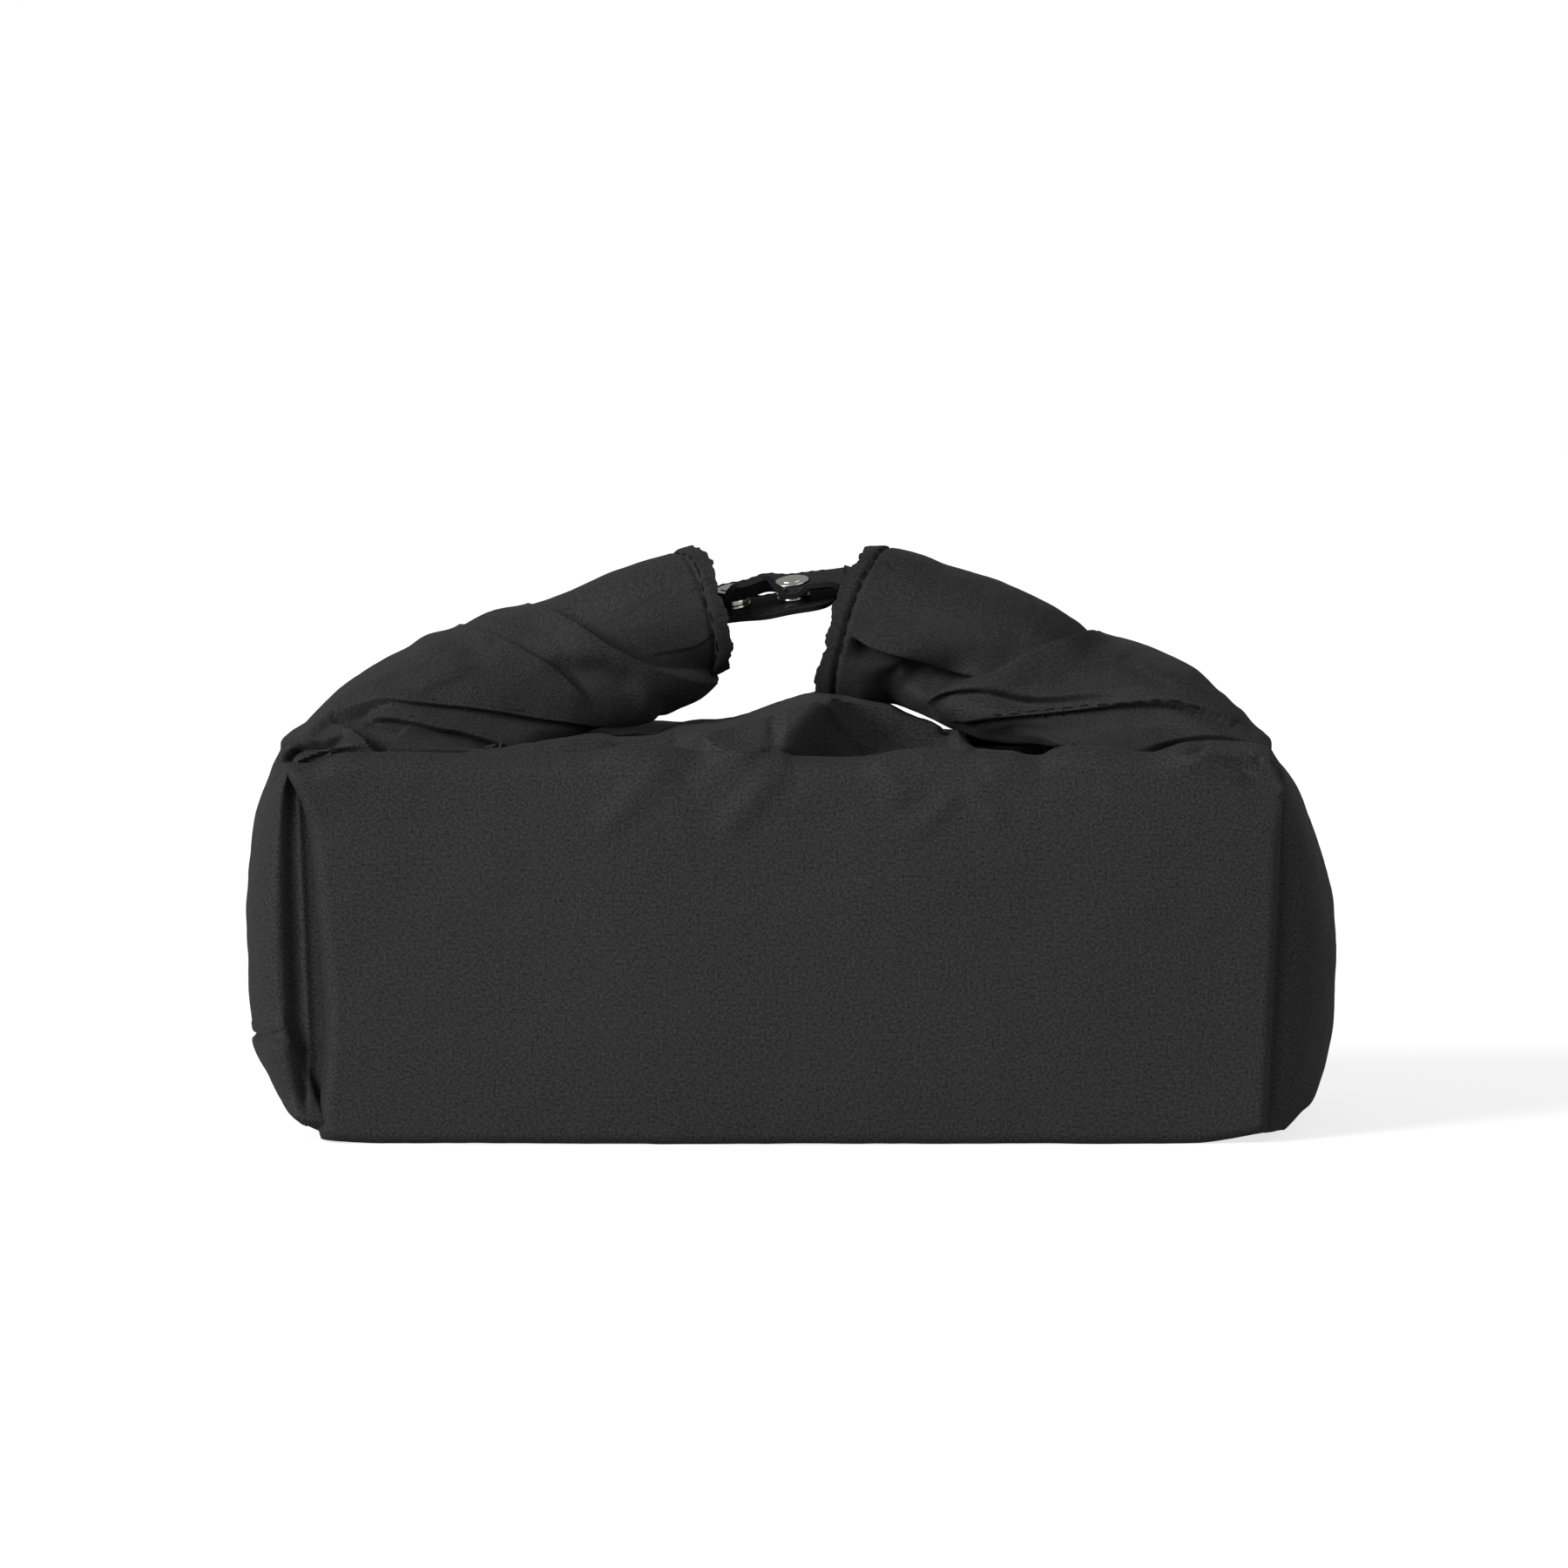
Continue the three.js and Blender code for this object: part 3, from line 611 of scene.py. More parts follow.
# Wall foam: a sheet of closed cell foam behind each of the four walls, sewn in with the seams.
foam_inset = 1.4
foam_thickness = 2.8
for side, title, rise in ((-1, "front", front_fold_rise), (1, "back", back_fold_rise)):
    sheet = front_wall(75, 50, rise, foam_inset, side)[5:-6, 6:-6]
    foam_piece = sheet_mesh(f"{title}_foam_sheet", sheet, foam_thickness, foam_finish)
    dress(foam_piece, "foam", "bag", f"{title}_foam")
for side, title in ((-1, "left"), (1, "right")):
    sheet = gusset_wall(side, 79, 43, foam_inset)[3:-1, 17:-17]
    foam_piece = sheet_mesh(f"{title}_foam_sheet", sheet, foam_thickness, foam_finish)
    dress(foam_piece, "foam", "bag", f"{title}_foam")

# Liner: a tub of soft silver film, heat sealed at its corners, that keeps the food apart from the foam.
liner_low, liner_high = (np.array(corner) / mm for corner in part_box("liner"))
liner_inset = 6.2
film_thickness = 0.35
film, film_tree, film_shader = new_material("silver_film", {
    "Metallic": 0.85, "Base Color": (0.62, 0.64, 0.66, 1)})
along_film = add_node(film_tree, "ShaderNodeTexCoord").outputs["UV"]
creases = add_node(film_tree, "ShaderNodeTexVoronoi", {"Scale": 95, "Vector": along_film},
                   feature="DISTANCE_TO_EDGE")
haze = add_node(film_tree, "ShaderNodeTexNoise", {"Scale": 60, "Vector": along_film})
dull = add_node(film_tree, "ShaderNodeMapRange", {
    "To Min": 0.24, "To Max": 0.46, "Value": haze.outputs["Fac"]})
film_bump = add_node(film_tree, "ShaderNodeBump", {
    "Distance": 0.8 * mm, "Height": creases.outputs["Distance"]})
feed(film_tree, film_shader, {"Roughness": dull.outputs["Result"], "Normal": film_bump.outputs["Normal"]})


def liner_ring(z, count):
    """A ring round the inside of the walls at one height, anticlockwise seen from above."""
    turns = np.linspace(0, 2 * math.pi, count, endpoint=False)
    half_x = seam_x(z) - liner_inset
    half_y = seam_y - liner_inset
    x = half_x * squared(np.cos(turns), 0.16)
    y = half_y * squared(np.sin(turns), 0.16)
    end = ease((np.abs(x) - half_x + 4) / 4) * (1 - np.minimum(np.abs(y) / (half_y - 8), 1) ** 3)
    return np.stack([x + np.sign(x) * (gusset_crown - 4) * swell(z) * end, y], axis=1)


liner_rows = []
for share in np.linspace(0.0005, 1, 16):
    ring = liner_ring(liner_low[2] + 4, 260)
    bottom_z = liner_low[2] + 4 * share ** 8 * 0.2 + 0.6
    liner_rows.append(np.column_stack([ring * share, np.full(len(ring), bottom_z)]))
for z in np.linspace(liner_low[2] + 2.5, liner_high[2] - 4, 45):
    liner_rows.append(np.column_stack([liner_ring(z, 260), np.full(260, z)]))
liner_skin = np.array(liner_rows)[:, ::-1]
uneven = waver(liner_skin, 16, 0.5, 31.7) * ease((liner_skin[..., 2] - 9) / 6)
liner_skin = liner_skin + outward(liner_skin, True) * uneven[..., None]
liner_piece = sheet_mesh("silver_liner", liner_skin, film_thickness, film, wrapped=True)
dress(liner_piece, "film", "bag", "liner")

# Mouth flaps: the tops of the front and the back, which fold in over the food and end in a turned hem. The
# front one is pulled up into a peak between the handles: its left face runs on from the panel, and on the
# right the cloth dips behind the fold line first. Each is lined.
flap_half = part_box("front_flap")[1].x / mm
tucked_under = 3
reach_at_ends = 10
reach_in_middle = {-1: 48, 1: 42}
peak_reach, peak_x, peak_spread = 32, 13, 34
hinge_y = seam_y - edge_radius
peak_outline = np.array([
    (-99, 0), (-80, 0), (-74, 0.4), (-66, 1.4), (-58, 2.2), (-50, 2.4), (-46, 1.4), (-36, 2.2),
    (-30, 4.5), (-24, 5.2), (-20, 5), (-15, 5.7), (-13, 6.4), (-5.5, 9), (-1, 10.7), (4, 12.3),
    (7.5, 12.8), (13, 12.2), (20, 11.2), (27, 9.6), (31, 7.6), (36.5, 5.2), (43, 2.4), (45.5, 0.4),
    (48.5, -2.6), (52, -4), (74, -4), (84, -1), (99, 0.5)]).T
dip_outline = np.array([
    (-90, 0.8), (-80, 0.7), (-60, 0.6), (-50, 0.7), (-44, 1), (-30, 1), (-24, 0.2), (-20, 0), (-6, 0),
    (-2, 0.6), (4, 1), (99, 1)]).T
# How far behind the fold line the front flap starts to rise, along its width
rise_start = np.array([
    (-99, 3), (-60, 4), (-50, 6), (-44, 8), (-30, 8), (-25, 2), (-22, -5), (-7, -5), (-3, -3), (0, 0),
    (4, 3.5), (8, 7.5), (12, 11), (16, 14), (20, 16.5), (24, 18), (30, 19.5), (38, 20), (46, 18),
    (54, 15), (64, 12), (99, 12)]).T
lining_cloth = cloth_finish("black_lining", (0.012, 0.012, 0.013), 0.5, 2400, 0.08, 0.05, 0.1)


def flap_surface(side, columns, rows, edge_row):
    """A flap's upper face, seen from outside left to right, from its tucked-under edge to its hem."""
    s, v = np.meshgrid(np.linspace(-1, 1, columns), np.linspace(0, 1, rows) ** 1.4)
    x = s * flap_half
    lens = reach_at_ends + (reach_in_middle[side] - reach_at_ends) * (1 - np.abs(x / flap_half) ** 3)
    reach = lens + (peak_reach * np.exp(-((x - peak_x) / peak_spread) ** 2) if side < 0 else 0)
    back = (reach + tucked_under) * v - tucked_under
    row = edge_row[np.argsort(edge_row[:, 0])]
    edge_y, edge_z = (np.interp(-side * x, row[:, 0], row[:, axis]) for axis in (1, 2))
    upright = runs_up(x, side)
    # The first rows are tucked under the fold, or run down behind the panel where the cloth runs up
    tucked = ease(-back / 1.2)
    under = np.maximum(-back, 0)
    y = hinge_y - np.maximum(back, 0) + (np.abs(edge_y) - hinge_y) * ease(1 - back / 12)
    y = y + under * (1 - upright) - tucked * upright
    z = fold_z + (edge_z - fold_z) * ease(1 - back / 16) - tucked * (1 - upright) - under * upright
    # The front one dips behind the fold and then rises to its outline; the back one sags a little
    if side < 0:
        top = np.interp(x, *peak_outline)
        dip = np.interp(x, *dip_outline)
        onset = np.interp(x, *rise_start) + edge_radius * upright
        lift = ease((back - onset) / (5 + 2 * dip)) * (1 - 0.3 * ease((back - 44) / 40))
        lean = np.interp(x, *rise_start) - np.interp(x - 12.5 * lift, *rise_start)
        y = y + lean * ease((17 - x) / 7) * ease((x + 5) / 4) * (1 - ease((back - onset - 9) / 25))
        y = y - 3.2 * ease((x + 27) / 20) * ease((-1 - x) / 4) * lift
        z = z + top * lift - 3.4 * dip * ease(back / 4) * (1 - ease((back - onset) / 4))
    else:
        z = z - 1.2 * np.exp(-((back - 14) / 9) ** 2)
    return np.stack([-side * x, side * y, z], axis=2)


for side, title, panel_skin in ((-1, "front", front_skin), (1, "back", back_skin)):
    flap_skin = flap_surface(side, 301, 141, panel_skin[-1])
    flap_normal = outward(flap_skin)
    away = ease((hinge_y - np.abs(flap_skin[..., 1])) / 8)
    ripple = waver(flap_skin, 24, 0.9, 51 + side) + waver(flap_skin, 8, 0.25, 61)
    if side < 0:
        ridge = [(10, 114), (12, 109.5), (15.5, 105), (23, 98.5)]
        flap_skin = swell_along(flap_skin, flap_normal, 1, ridge, 1.3, 1.2, (0.05, 0.1))
        pull = [(43, 107), (45.5, 101), (47, 97)]
        flap_skin = lay_fold(flap_skin, flap_normal, 1, pull, 1.2, 4, 1.5, 0, 1.2, 4, (0.1, 0.1))
    flap_skin = flap_skin + flap_normal * (ripple * away)[..., None]
    flap_cloth = sheet_mesh(f"{title}_flap_cloth", flap_skin, cloth, nylon)
    lining_skin = (flap_skin - outward(flap_skin) * (cloth + 0.4))[25:138:2, 4:297:2]
    flap_lining = sheet_mesh(f"{title}_flap_lining_cloth", lining_skin, 0.5, lining_cloth)
    for piece, slot, node in ((flap_cloth, "nylon", f"{title}_flap"),
                              (flap_lining, "lining", f"{title}_flap_lining")):
        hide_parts(node)
        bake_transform(piece)

# Handles: each end of the bag rises into a wide hollow tube of gathered nylon, twisted and bent over
# towards the middle, and hemmed round its mouth. The twist lays the cloth in long slanting folds, set out
# here as they look from the front.
mouths = {
    "left": dict(side=-1, depth=35, drag=26, top=[
        (134.5, 103.5), (130, 107), (124.5, 112.5), (117.5, 118.7), (109, 124.3), (103, 127.6),
        (97.5, 131.5), (90, 133.4), (84.5, 136), (79.5, 137.8), (71.5, 138.8), (67, 140.2), (58.5, 143.7),
        (42, 150), (26, 154.5)],
        under=[(100, 104.5), (88, 102.5), (75, 103), (62, 104.5), (50, 106), (42, 107.2), (35, 109.2),
               (29.5, 112), (24.5, 115.2), (21, 118.4), (19, 120.5)]),
    "right": dict(side=1, depth=36, drag=28, top=[
        (127.6, 103.3), (123.9, 107.6), (118.8, 112.9), (113.5, 118), (109, 122.1), (104.5, 124.7),
        (100, 126.6), (95.5, 128.2), (91, 129.4), (87, 130.1), (84, 130.8), (81.5, 132.2), (77.5, 135.2),
        (68.5, 140), (59.5, 144.3), (48.5, 147.8), (41.5, 150), (35, 152.5), (27, 154.3), (21.5, 154.5)],
        under=[(100, 104.5), (75, 102.6), (60, 103), (52, 104), (45, 106.2), (38, 108.7), (31, 111.2),
               (27, 111.9), (23, 110.7), (19, 109.9), (14, 110.2), (9.5, 111.5)]),
}
base_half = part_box("right_handle")[1].y / mm
lip_reach = 5.5
hem_depth = 4.6


def along_line(places, share):
    """Points at shares of the length of a curve through a few places."""
    line = smooth_line(places)
    length = run(line)
    return np.stack([np.interp(share * length[-1], length, line[:, k]) for k in (0, 1)], axis=1)


def handle_curves(mouth, t):
    """Points along the top and the underside of a handle, drawn for the right-hand side, in x and z."""
    return along_line(mouth["top"], t), along_line(mouth["under"], t)


def handle_surface(title, around, rows):
    """A handle's outside, from its base to its mouth, with more points round its front than its back."""
    mouth = mouths[title]
    t = np.linspace(0, 1, rows)
    upper, lower = handle_curves(mouth, t)
    angle = np.linspace(0, 2 * math.pi, 1081)[None, :]
    reach = np.linalg.norm(upper - lower, axis=1)
    direction = (upper - lower) / reach[:, None]
    t = t[:, None]
    # The section is round at the mouth, and wider and squarer towards the base
    half_depth = mouth["depth"] / 2 + (base_half - mouth["depth"] / 2) * (1 - t) ** 1.3
    power = 2 / (2.2 + 2.8 * (1 - t) ** 5 * (0.15 + 0.85 * ease(np.cos(angle) * 2 + 0.5)))
    # Pleats wind round its back
    behind = ease((np.sin(angle) + 0.1) / 0.5)
    pleat = 2.4 * np.sin(math.pi * t) ** 2 * (1 - np.cos(3 * (angle - math.radians(200) * t))) / 2 * behind
    along = (reach[:, None] / 2 - pleat) * squared(np.cos(angle), power)
    y = (half_depth - pleat) * squared(np.sin(angle), power)
    x = (upper + lower)[:, :1] / 2 + direction[:, :1] * along + lip_reach * t ** 6 * y / half_depth
    z = (upper + lower)[:, 1:] / 2 + direction[:, 1:] * along
    # The low front of the base is dragged towards the bag's middle
    low_front = ease(-np.cos(angle) * 1.4) * ease(-np.sin(angle) * 1.6)
    x = x - mouth["drag"] * low_front * (1 - t) ** 2.2
    z = z - 2.2 * low_front * ease((0.85 - t) / 0.5)
    # The outer side of the base lies on the gusset's top edge
    level_with_gusset = ease(1 - t / 0.05) * ease(np.cos(angle) * 2)
    corner = corners_in * ease((np.abs(y) - 35) / 15) * (mouth["side"] > 0)
    gusset_top = seam_x(fold_z) + gusset_out(mouth["side"], y) * fullness[mouth["side"]][-1][1] - corner
    x = x + (gusset_top - x) * level_with_gusset
    # Columns are set out again along each ring, closer together round the front
    dense = np.stack([x, y, z], axis=2)
    steps = np.linalg.norm(np.diff(dense, axis=1), axis=2) * np.where(dense[:, 1:, 1] < 5, 1.7, 1)
    gone = np.pad(steps.cumsum(axis=1), ((0, 0), (1, 0)))
    share = np.linspace(0, 1, around, endpoint=False)
    grid = np.array([[np.interp(share * way[-1], way, row[:, axis]) for axis in range(3)]
                     for row, way in zip(dense, gone)])
    grid = grid.transpose(0, 2, 1)
    if mouth["side"] < 0:
        grid = grid[:, ::-1] * np.array([-1, 1, 1])
    return grid


# Each fold: places, height, reach of the raised side, drop, overhang, hollow, reach of the hollow, and how
# soon its ends fade
left_folds = [
    ([(-76, 142.5), (-70.5, 139), (-66, 137), (-58.5, 132.5), (-50.5, 127.5), (-42, 123.3),
      (-33.5, 120.2), (-24, 118.6), (-15, 118.6)][::-1],
     2.4, 10, 0.9, 0.9, 3.2, 9, (0.1, 0.35)),
    ([(-94, 136), (-90, 134), (-84, 131.8), (-76.5, 128.5), (-69, 124.5), (-63, 120.5), (-58, 116),
      (-52, 110.5)][::-1],
     1.1, 4, 0.7, 0.4, 1.2, 3, (0.2, 0.25)),
    ([(-103, 115), (-95.5, 118), (-84, 122)], 0.7, 4, 2, 0.2, 0.4, 4, (0.3, 0.4)),
    ([(-131, 102.5), (-128, 106), (-124.5, 109.5), (-121.5, 111.5), (-115, 114), (-106, 114.3)], 1.2, 5,
     0.8, 0.6, 1.6, 3, (0.15, 0.4)),
    ([(-128, 106), (-124.5, 109.5), (-121.5, 111.5), (-115, 114), (-109, 114.5), (-100.5, 113.5),
      (-89, 112.5), (-77, 111), (-67, 109.5), (-54.5, 108.3), (-46, 108), (-39.5, 109), (-33, 111)],
     1.2, 8, 0.9, 1.3, 1.6, 3.5, (0.06, 0.06)),
    ([(-116, 111), (-109, 110), (-102.5, 108.5), (-95.5, 106.5), (-89, 105.5), (-82, 103.5),
      (-75.5, 101.3), (-66, 99)],
     1.5, 5, 0.8, 1.1, 2.2, 2.5, (0.1, 0.08)),
    ([(-111, 97.5), (-115.5, 101.5), (-120, 105.3), (-125, 107)], 1.4, 3, 0.9, 0.8, 4.4, 9, (0.02, 0.5)),
    ([(-138, 94), (-136.6, 97.6), (-133.3, 101), (-126.6, 102.5), (-120, 104.2)], 0.9, 2, 0.9, 0.4, 3.2,
     1.6, (0.1, 0.1)),
    ([(-136.5, 94.8), (-131.5, 97.6), (-127, 99.4), (-122, 100.4), (-113, 100.8)], 0.9, 1.5, 0.9, 0.3,
     1.0, 3, (0.1, 0.2)),
    ([(-37.5, 124), (-36, 126), (-31, 126.8), (-25, 128.3), (-20, 132)], 0.2, 1.5, 0.8, 0.1, 0.1, 1.5,
     (0.2, 0.1)),
]
right_folds = [
    ([(16, 131), (23.5, 127.7), (29.5, 126), (36, 124), (43, 121.5), (48.5, 120.5), (55, 121)], 0.8, 2.5,
     0.8, 0.9, 4.8, 4, (0.15, 0.15)),
    ([(91, 135), (86, 131.8), (82, 130.7), (75.5, 128), (68.5, 126), (61, 122.5), (56, 120), (50, 118.6),
      (43.5, 116.6), (39.5, 114.8), (35.5, 112.4)], 2.4, 6, 0.9, 1.1, 4.2, 9, (0.12, 0.06)),
    ([(125, 106), (122.5, 109), (117, 112.5), (111.5, 114.6), (104.5, 115.7), (95.5, 116.2), (86.5, 116),
      (77.5, 115), (68.5, 113.8), (62, 113)], 1.2, 5, 1.2, 0.3, 0.8, 2.5, (0.1, 0.3)),
    ([(84.5, 124), (91, 126), (95.5, 122.5), (100.5, 119.5), (107, 116.5)], 0.6, 3, 1.5, 0.1, 0.3, 3,
     (0.3, 0.3)),
    ([(43, 107.8), (52, 109), (59.5, 109.6), (68.5, 110.5), (77.5, 111.5), (86.5, 112.5), (95.5, 113.1),
      (102.5, 113), (109, 111.7), (115, 109.7), (123, 107)], 1, 3.5, 0.7, 0.8, 1.6, 3, (0.06, 0.06)),
    ([(96, 113.1), (103, 113), (109, 111.7), (115, 109.7), (121, 107.3)], 0.6, 2, 0.6, 0.4, 1.4, 1.2,
     (0.3, 0.05)),
    ([(45, 108), (59.5, 109.6), (77.5, 111.5), (95.5, 113.1), (109, 111.7), (123, 107)], 0, 1, 6, 0, 3, 6,
     (0.2, 0.3)),
    ([(124.5, 109.5), (119, 113.4), (112, 116.6), (104, 118.4), (96, 120.5)], 0.5, 1.6, 0.8, 0.2, 0.5,
     1.6, (0.1, 0.3)),
    ([(35, 111.6), (38, 114), (41, 115.6), (46, 116.6), (51.5, 116.8), (56.5, 116), (63, 114.6),
      (72, 114.8), (84, 115.9), (98, 116.4)], 0.5, 2, 2.2, 0.1, 2.7, 2.8, (0.1, 0.6)),
    ([(92, 100), (97, 101.2), (103, 103), (109, 104.1), (116, 104.3), (122, 103.5), (128, 101.4)], 0.9, 3,
     0.8, 0.8, 3, 2, (0.15, 0.06)),
]
left_swells = [
    ([(-67, 124), (-58.5, 121.5), (-50.5, 121), (-43.5, 117.5), (-39, 113.5)], -1.8, 3.5),
    ([(-62, 127), (-52, 124), (-43, 119)], 0.8, 3),
    ([(-80, 104), (-68, 104), (-52, 106)], 1.6, 4),
]
right_swells = [
    ([(20, 112), (27, 117), (34, 120), (42, 120), (50, 120)], -3.5, 4.5),
    ([(29, 119), (34, 117.4), (39, 117.4), (46, 119)], -3, 3),
    ([(60, 134), (72, 130), (80, 126)], 0.7, 4),
]
# A darker copy of the nylon for the right-hand handle: painted shade, for the less light that reaches it
# from the left.
painted_shade = charcoal("charcoal_nylon_on_the_bias", (0.0172, 0.0172, 0.0182))
# A darker copy of the nylon for the hems round the handles' mouths.
hem_nylon = charcoal("charcoal_nylon_doubled", (0.0165, 0.0165, 0.0174))
dark_lining = cloth_finish("handle_lining_black", (0.01, 0.01, 0.011), 0.6, 2400, 0.08, 0.05, 0.05)


def from_rim(skin):
    """How far each point of a handle's skin lies from the rim of its mouth, along the cloth."""
    return np.linalg.norm(np.diff(skin[::-1], axis=0, prepend=skin[-1:]), axis=2).cumsum(axis=0)[::-1]


def bend_with_handle(piece):
    """Bakes the piece's placing into its mesh."""
    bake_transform(piece)


handle_skins = {}
for title, folds, swells in (("left", left_folds, left_swells), ("right", right_folds, right_swells)):
    mouth = mouths[title]
    skin = handle_surface(title, 292, 249)
    # The tube goes on downwards, from just outside the gusset's top edge to behind it
    level = outward(skin, True)[:1] * [1, 1, 0]
    drops = np.arange(-15, -0.1, 0.7)
    over_gusset = np.concatenate([0.4 + 0.07 * drops, 0.4 * ease(1 - np.arange(len(skin)) / 14)])
    skin = np.concatenate([*(skin[:1] + [[[0, 0, drop]]] for drop in drops), skin])
    skin = skin + level * over_gusset[:, None, None]
    # Folds and swells move the front of the cloth along evened-out normals
    normal = outward(skin, True)
    for smoothing in range(12):
        normal[1:-1] = (normal[:-2] + 2 * normal[1:-1] + normal[2:]) / 4
    normal = normal / np.linalg.norm(normal, axis=2, keepdims=True)
    at_outline = 0.6 if mouth["side"] < 0 else 0.25
    facing = ease((10 - skin[..., 1]) / 10) * (at_outline + (1 - at_outline) * ease(-normal[..., 1] / 0.5))
    for places, height, width in swells:
        skin = swell_along(skin, normal, facing, places, height, width)
    for fold in folds:
        skin = lay_fold(skin, normal, facing, *fold)
    open_end = np.linspace(0, 1, len(skin))[:, None]
    slack = np.sin(math.pi * np.clip(open_end, 0, 0.8))
    uneven = waver(skin, 26, 0.7, 70 + mouth["side"]) * slack + waver(skin, 7, 0.14, 80 + mouth["side"])
    skin = skin + normal * uneven[..., None]
    # The hem is a little thicker, and drawn in along its stitches; the rim is uneven
    to_rim = from_rim(skin)
    hem = 0.45 * ease((hem_depth + 1 - to_rim) / 1.2) - 1.1 * np.exp(-((to_rim - hem_depth) / 0.7) ** 2)
    skin = skin + outward(skin, True) * hem[..., None]
    past_rim = (skin[-1:] - skin[-8:-7]) / 3
    skin = skin + past_rim * (waver(skin, 3.4, 1.0, 90 + mouth["side"]) * np.exp(-to_rim / 2))[..., None]
    handle_skins[title] = skin
    # The right-hand handle takes the darker copy of the nylon, which is painted shade.
    handle_cloth = sheet_mesh(f"{title}_handle_cloth", skin, cloth,
                              nylon if title == "left" else painted_shade, True)
    # The faces of the hem take the darker copy of the nylon.
    handle_cloth.data.materials.append(hem_nylon)
    darker_hem = np.zeros(len(handle_cloth.data.polygons), int)
    darker_hem[:to_rim[:-1].size] = (to_rim[:-1] < hem_depth - 0.2).ravel()
    handle_cloth.data.polygons.foreach_set("material_index", darker_hem)
    lining_skin = (skin - outward(skin, True) * (cloth + 0.5))[31:264:2, ::2]
    handle_lining = sheet_mesh(f"{title}_handle_lining_cloth", lining_skin, 0.5, dark_lining, wrapped=True)
    for piece, slot, node in ((handle_cloth, "nylon", f"{title}_handle"),
                              (handle_lining, "lining", f"{title}_handle_lining")):
        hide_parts(node)
        bend_with_handle(piece)

# Stitches: the hem round each mouth, the neckline seam that shows on the right-hand handle, and both edges
# of each strap. A Geometry Nodes tree lays a short round thread at every step along the lines that it is
# given.
thread_dark = cloth_finish("black_thread", (0.006, 0.006, 0.0065), 0.7, 3000, 0.2, 0.05, 0.0, 0.1)


def stitch_tree():
    """The Geometry Nodes tree of a row of stitches."""
    tree = bpy.data.node_groups.new("stitches", "GeometryNodeTree")
    socket = tree.interface.new_socket
    socket("Lines", in_out="INPUT", socket_type="NodeSocketGeometry")
    for title, value in (("Pitch", 0.005), ("Length", 0.0036), ("Thickness", 0.0006)):
        socket(title, in_out="INPUT", socket_type="NodeSocketFloat").default_value = value
    socket("Thread", in_out="INPUT", socket_type="NodeSocketMaterial")
    socket("Seed", in_out="INPUT", socket_type="NodeSocketInt").default_value = 7
    socket("Stitches", in_out="OUTPUT", socket_type="NodeSocketGeometry")
    given, out = add_node(tree, "NodeGroupInput").outputs, add_node(tree, "NodeGroupOutput")
    curve = add_node(tree, "GeometryNodeMeshToCurve", {"Mesh": given["Lines"]})
    steps = add_node(tree, "GeometryNodeResampleCurve", {
        "Curve": curve.outputs["Curve"], "Length": given["Pitch"]}, mode="LENGTH")
    bead = add_node(tree, "GeometryNodeMeshUVSphere", {"Segments": 8, "Rings": 6, "Radius": 0.5})
    tangent = add_node(tree, "GeometryNodeInputTangent")
    turned = add_node(tree, "FunctionNodeAlignRotationToVector", {"Vector": tangent.outputs["Tangent"]},
                      axis="Z")
    uneven = add_node(tree, "FunctionNodeRandomValue", {2: 0.8, 3: 1.1, "Seed": given["Seed"]})
    size = add_node(tree, "ShaderNodeCombineXYZ", {
        "X": given["Thickness"], "Y": given["Thickness"],
        "Z": maths(tree, "MULTIPLY", given["Length"], uneven.outputs[1])})
    placed = add_node(tree, "GeometryNodeInstanceOnPoints", {
        "Points": steps.outputs["Curve"], "Instance": bead.outputs["Mesh"],
        "Rotation": turned.outputs["Rotation"], "Scale": size.outputs["Vector"]})
    solid = add_node(tree, "GeometryNodeRealizeInstances", {"Geometry": placed.outputs["Instances"]})
    finish = add_node(tree, "GeometryNodeSetMaterial", {
        "Geometry": solid.outputs["Geometry"], "Material": given["Thread"]})
    feed(tree, out, {"Stitches": finish.outputs["Geometry"]})
    return tree


stitches = stitch_tree()


def stitch(name, lines, pitch, length, thickness):
    """Stitches along lines of points in millimetres, as one mesh."""
    points = np.concatenate(lines) * mm
    ends = np.cumsum([len(line) for line in lines])
    edges = [(k, k + 1) for k in range(len(points) - 1) if k + 1 not in ends]
    guide_mesh = bpy.data.meshes.new(f"{name}_guide")
    guide_mesh.from_pydata(points.tolist(), edges, [])
    guide = in_scene(f"{name}_guide", guide_mesh)
    modifier = guide.modifiers.new("stitches", "NODES")
    modifier.node_group = stitches
    names = {item.name: item.identifier for item in stitches.interface.items_tree}
    for title, value in (("Pitch", pitch * mm), ("Length", length * mm), ("Thickness", thickness * mm),
                         ("Thread", thread_dark), ("Seed", 7)):
        modifier[names[title]] = value
    evaluated = guide.evaluated_get(bpy.context.evaluated_depsgraph_get())
    mesh = bpy.data.meshes.new_from_object(evaluated)
    mesh.name = name
    bpy.data.objects.remove(guide)
    return in_scene(name, mesh)


def on_skin(skin, normal, places, lift):
    """The points of a skin's front that are seen nearest to a line's places, lifted a little off it."""
    line = smooth_line(places, 6)
    flat = seen(skin).reshape(-1, 2)
    hidden = (skin[..., 1] > 0).ravel() * 1000
    lifted = (skin + normal * lift).reshape(-1, 3)
    found = np.array([lifted[np.argmin(((flat - spot) ** 2).sum(axis=1) + hidden)] for spot in line])
    return np.vstack([found[:1], (found[:-2] + 2 * found[1:-1] + found[2:]) / 4, found[-1:]])


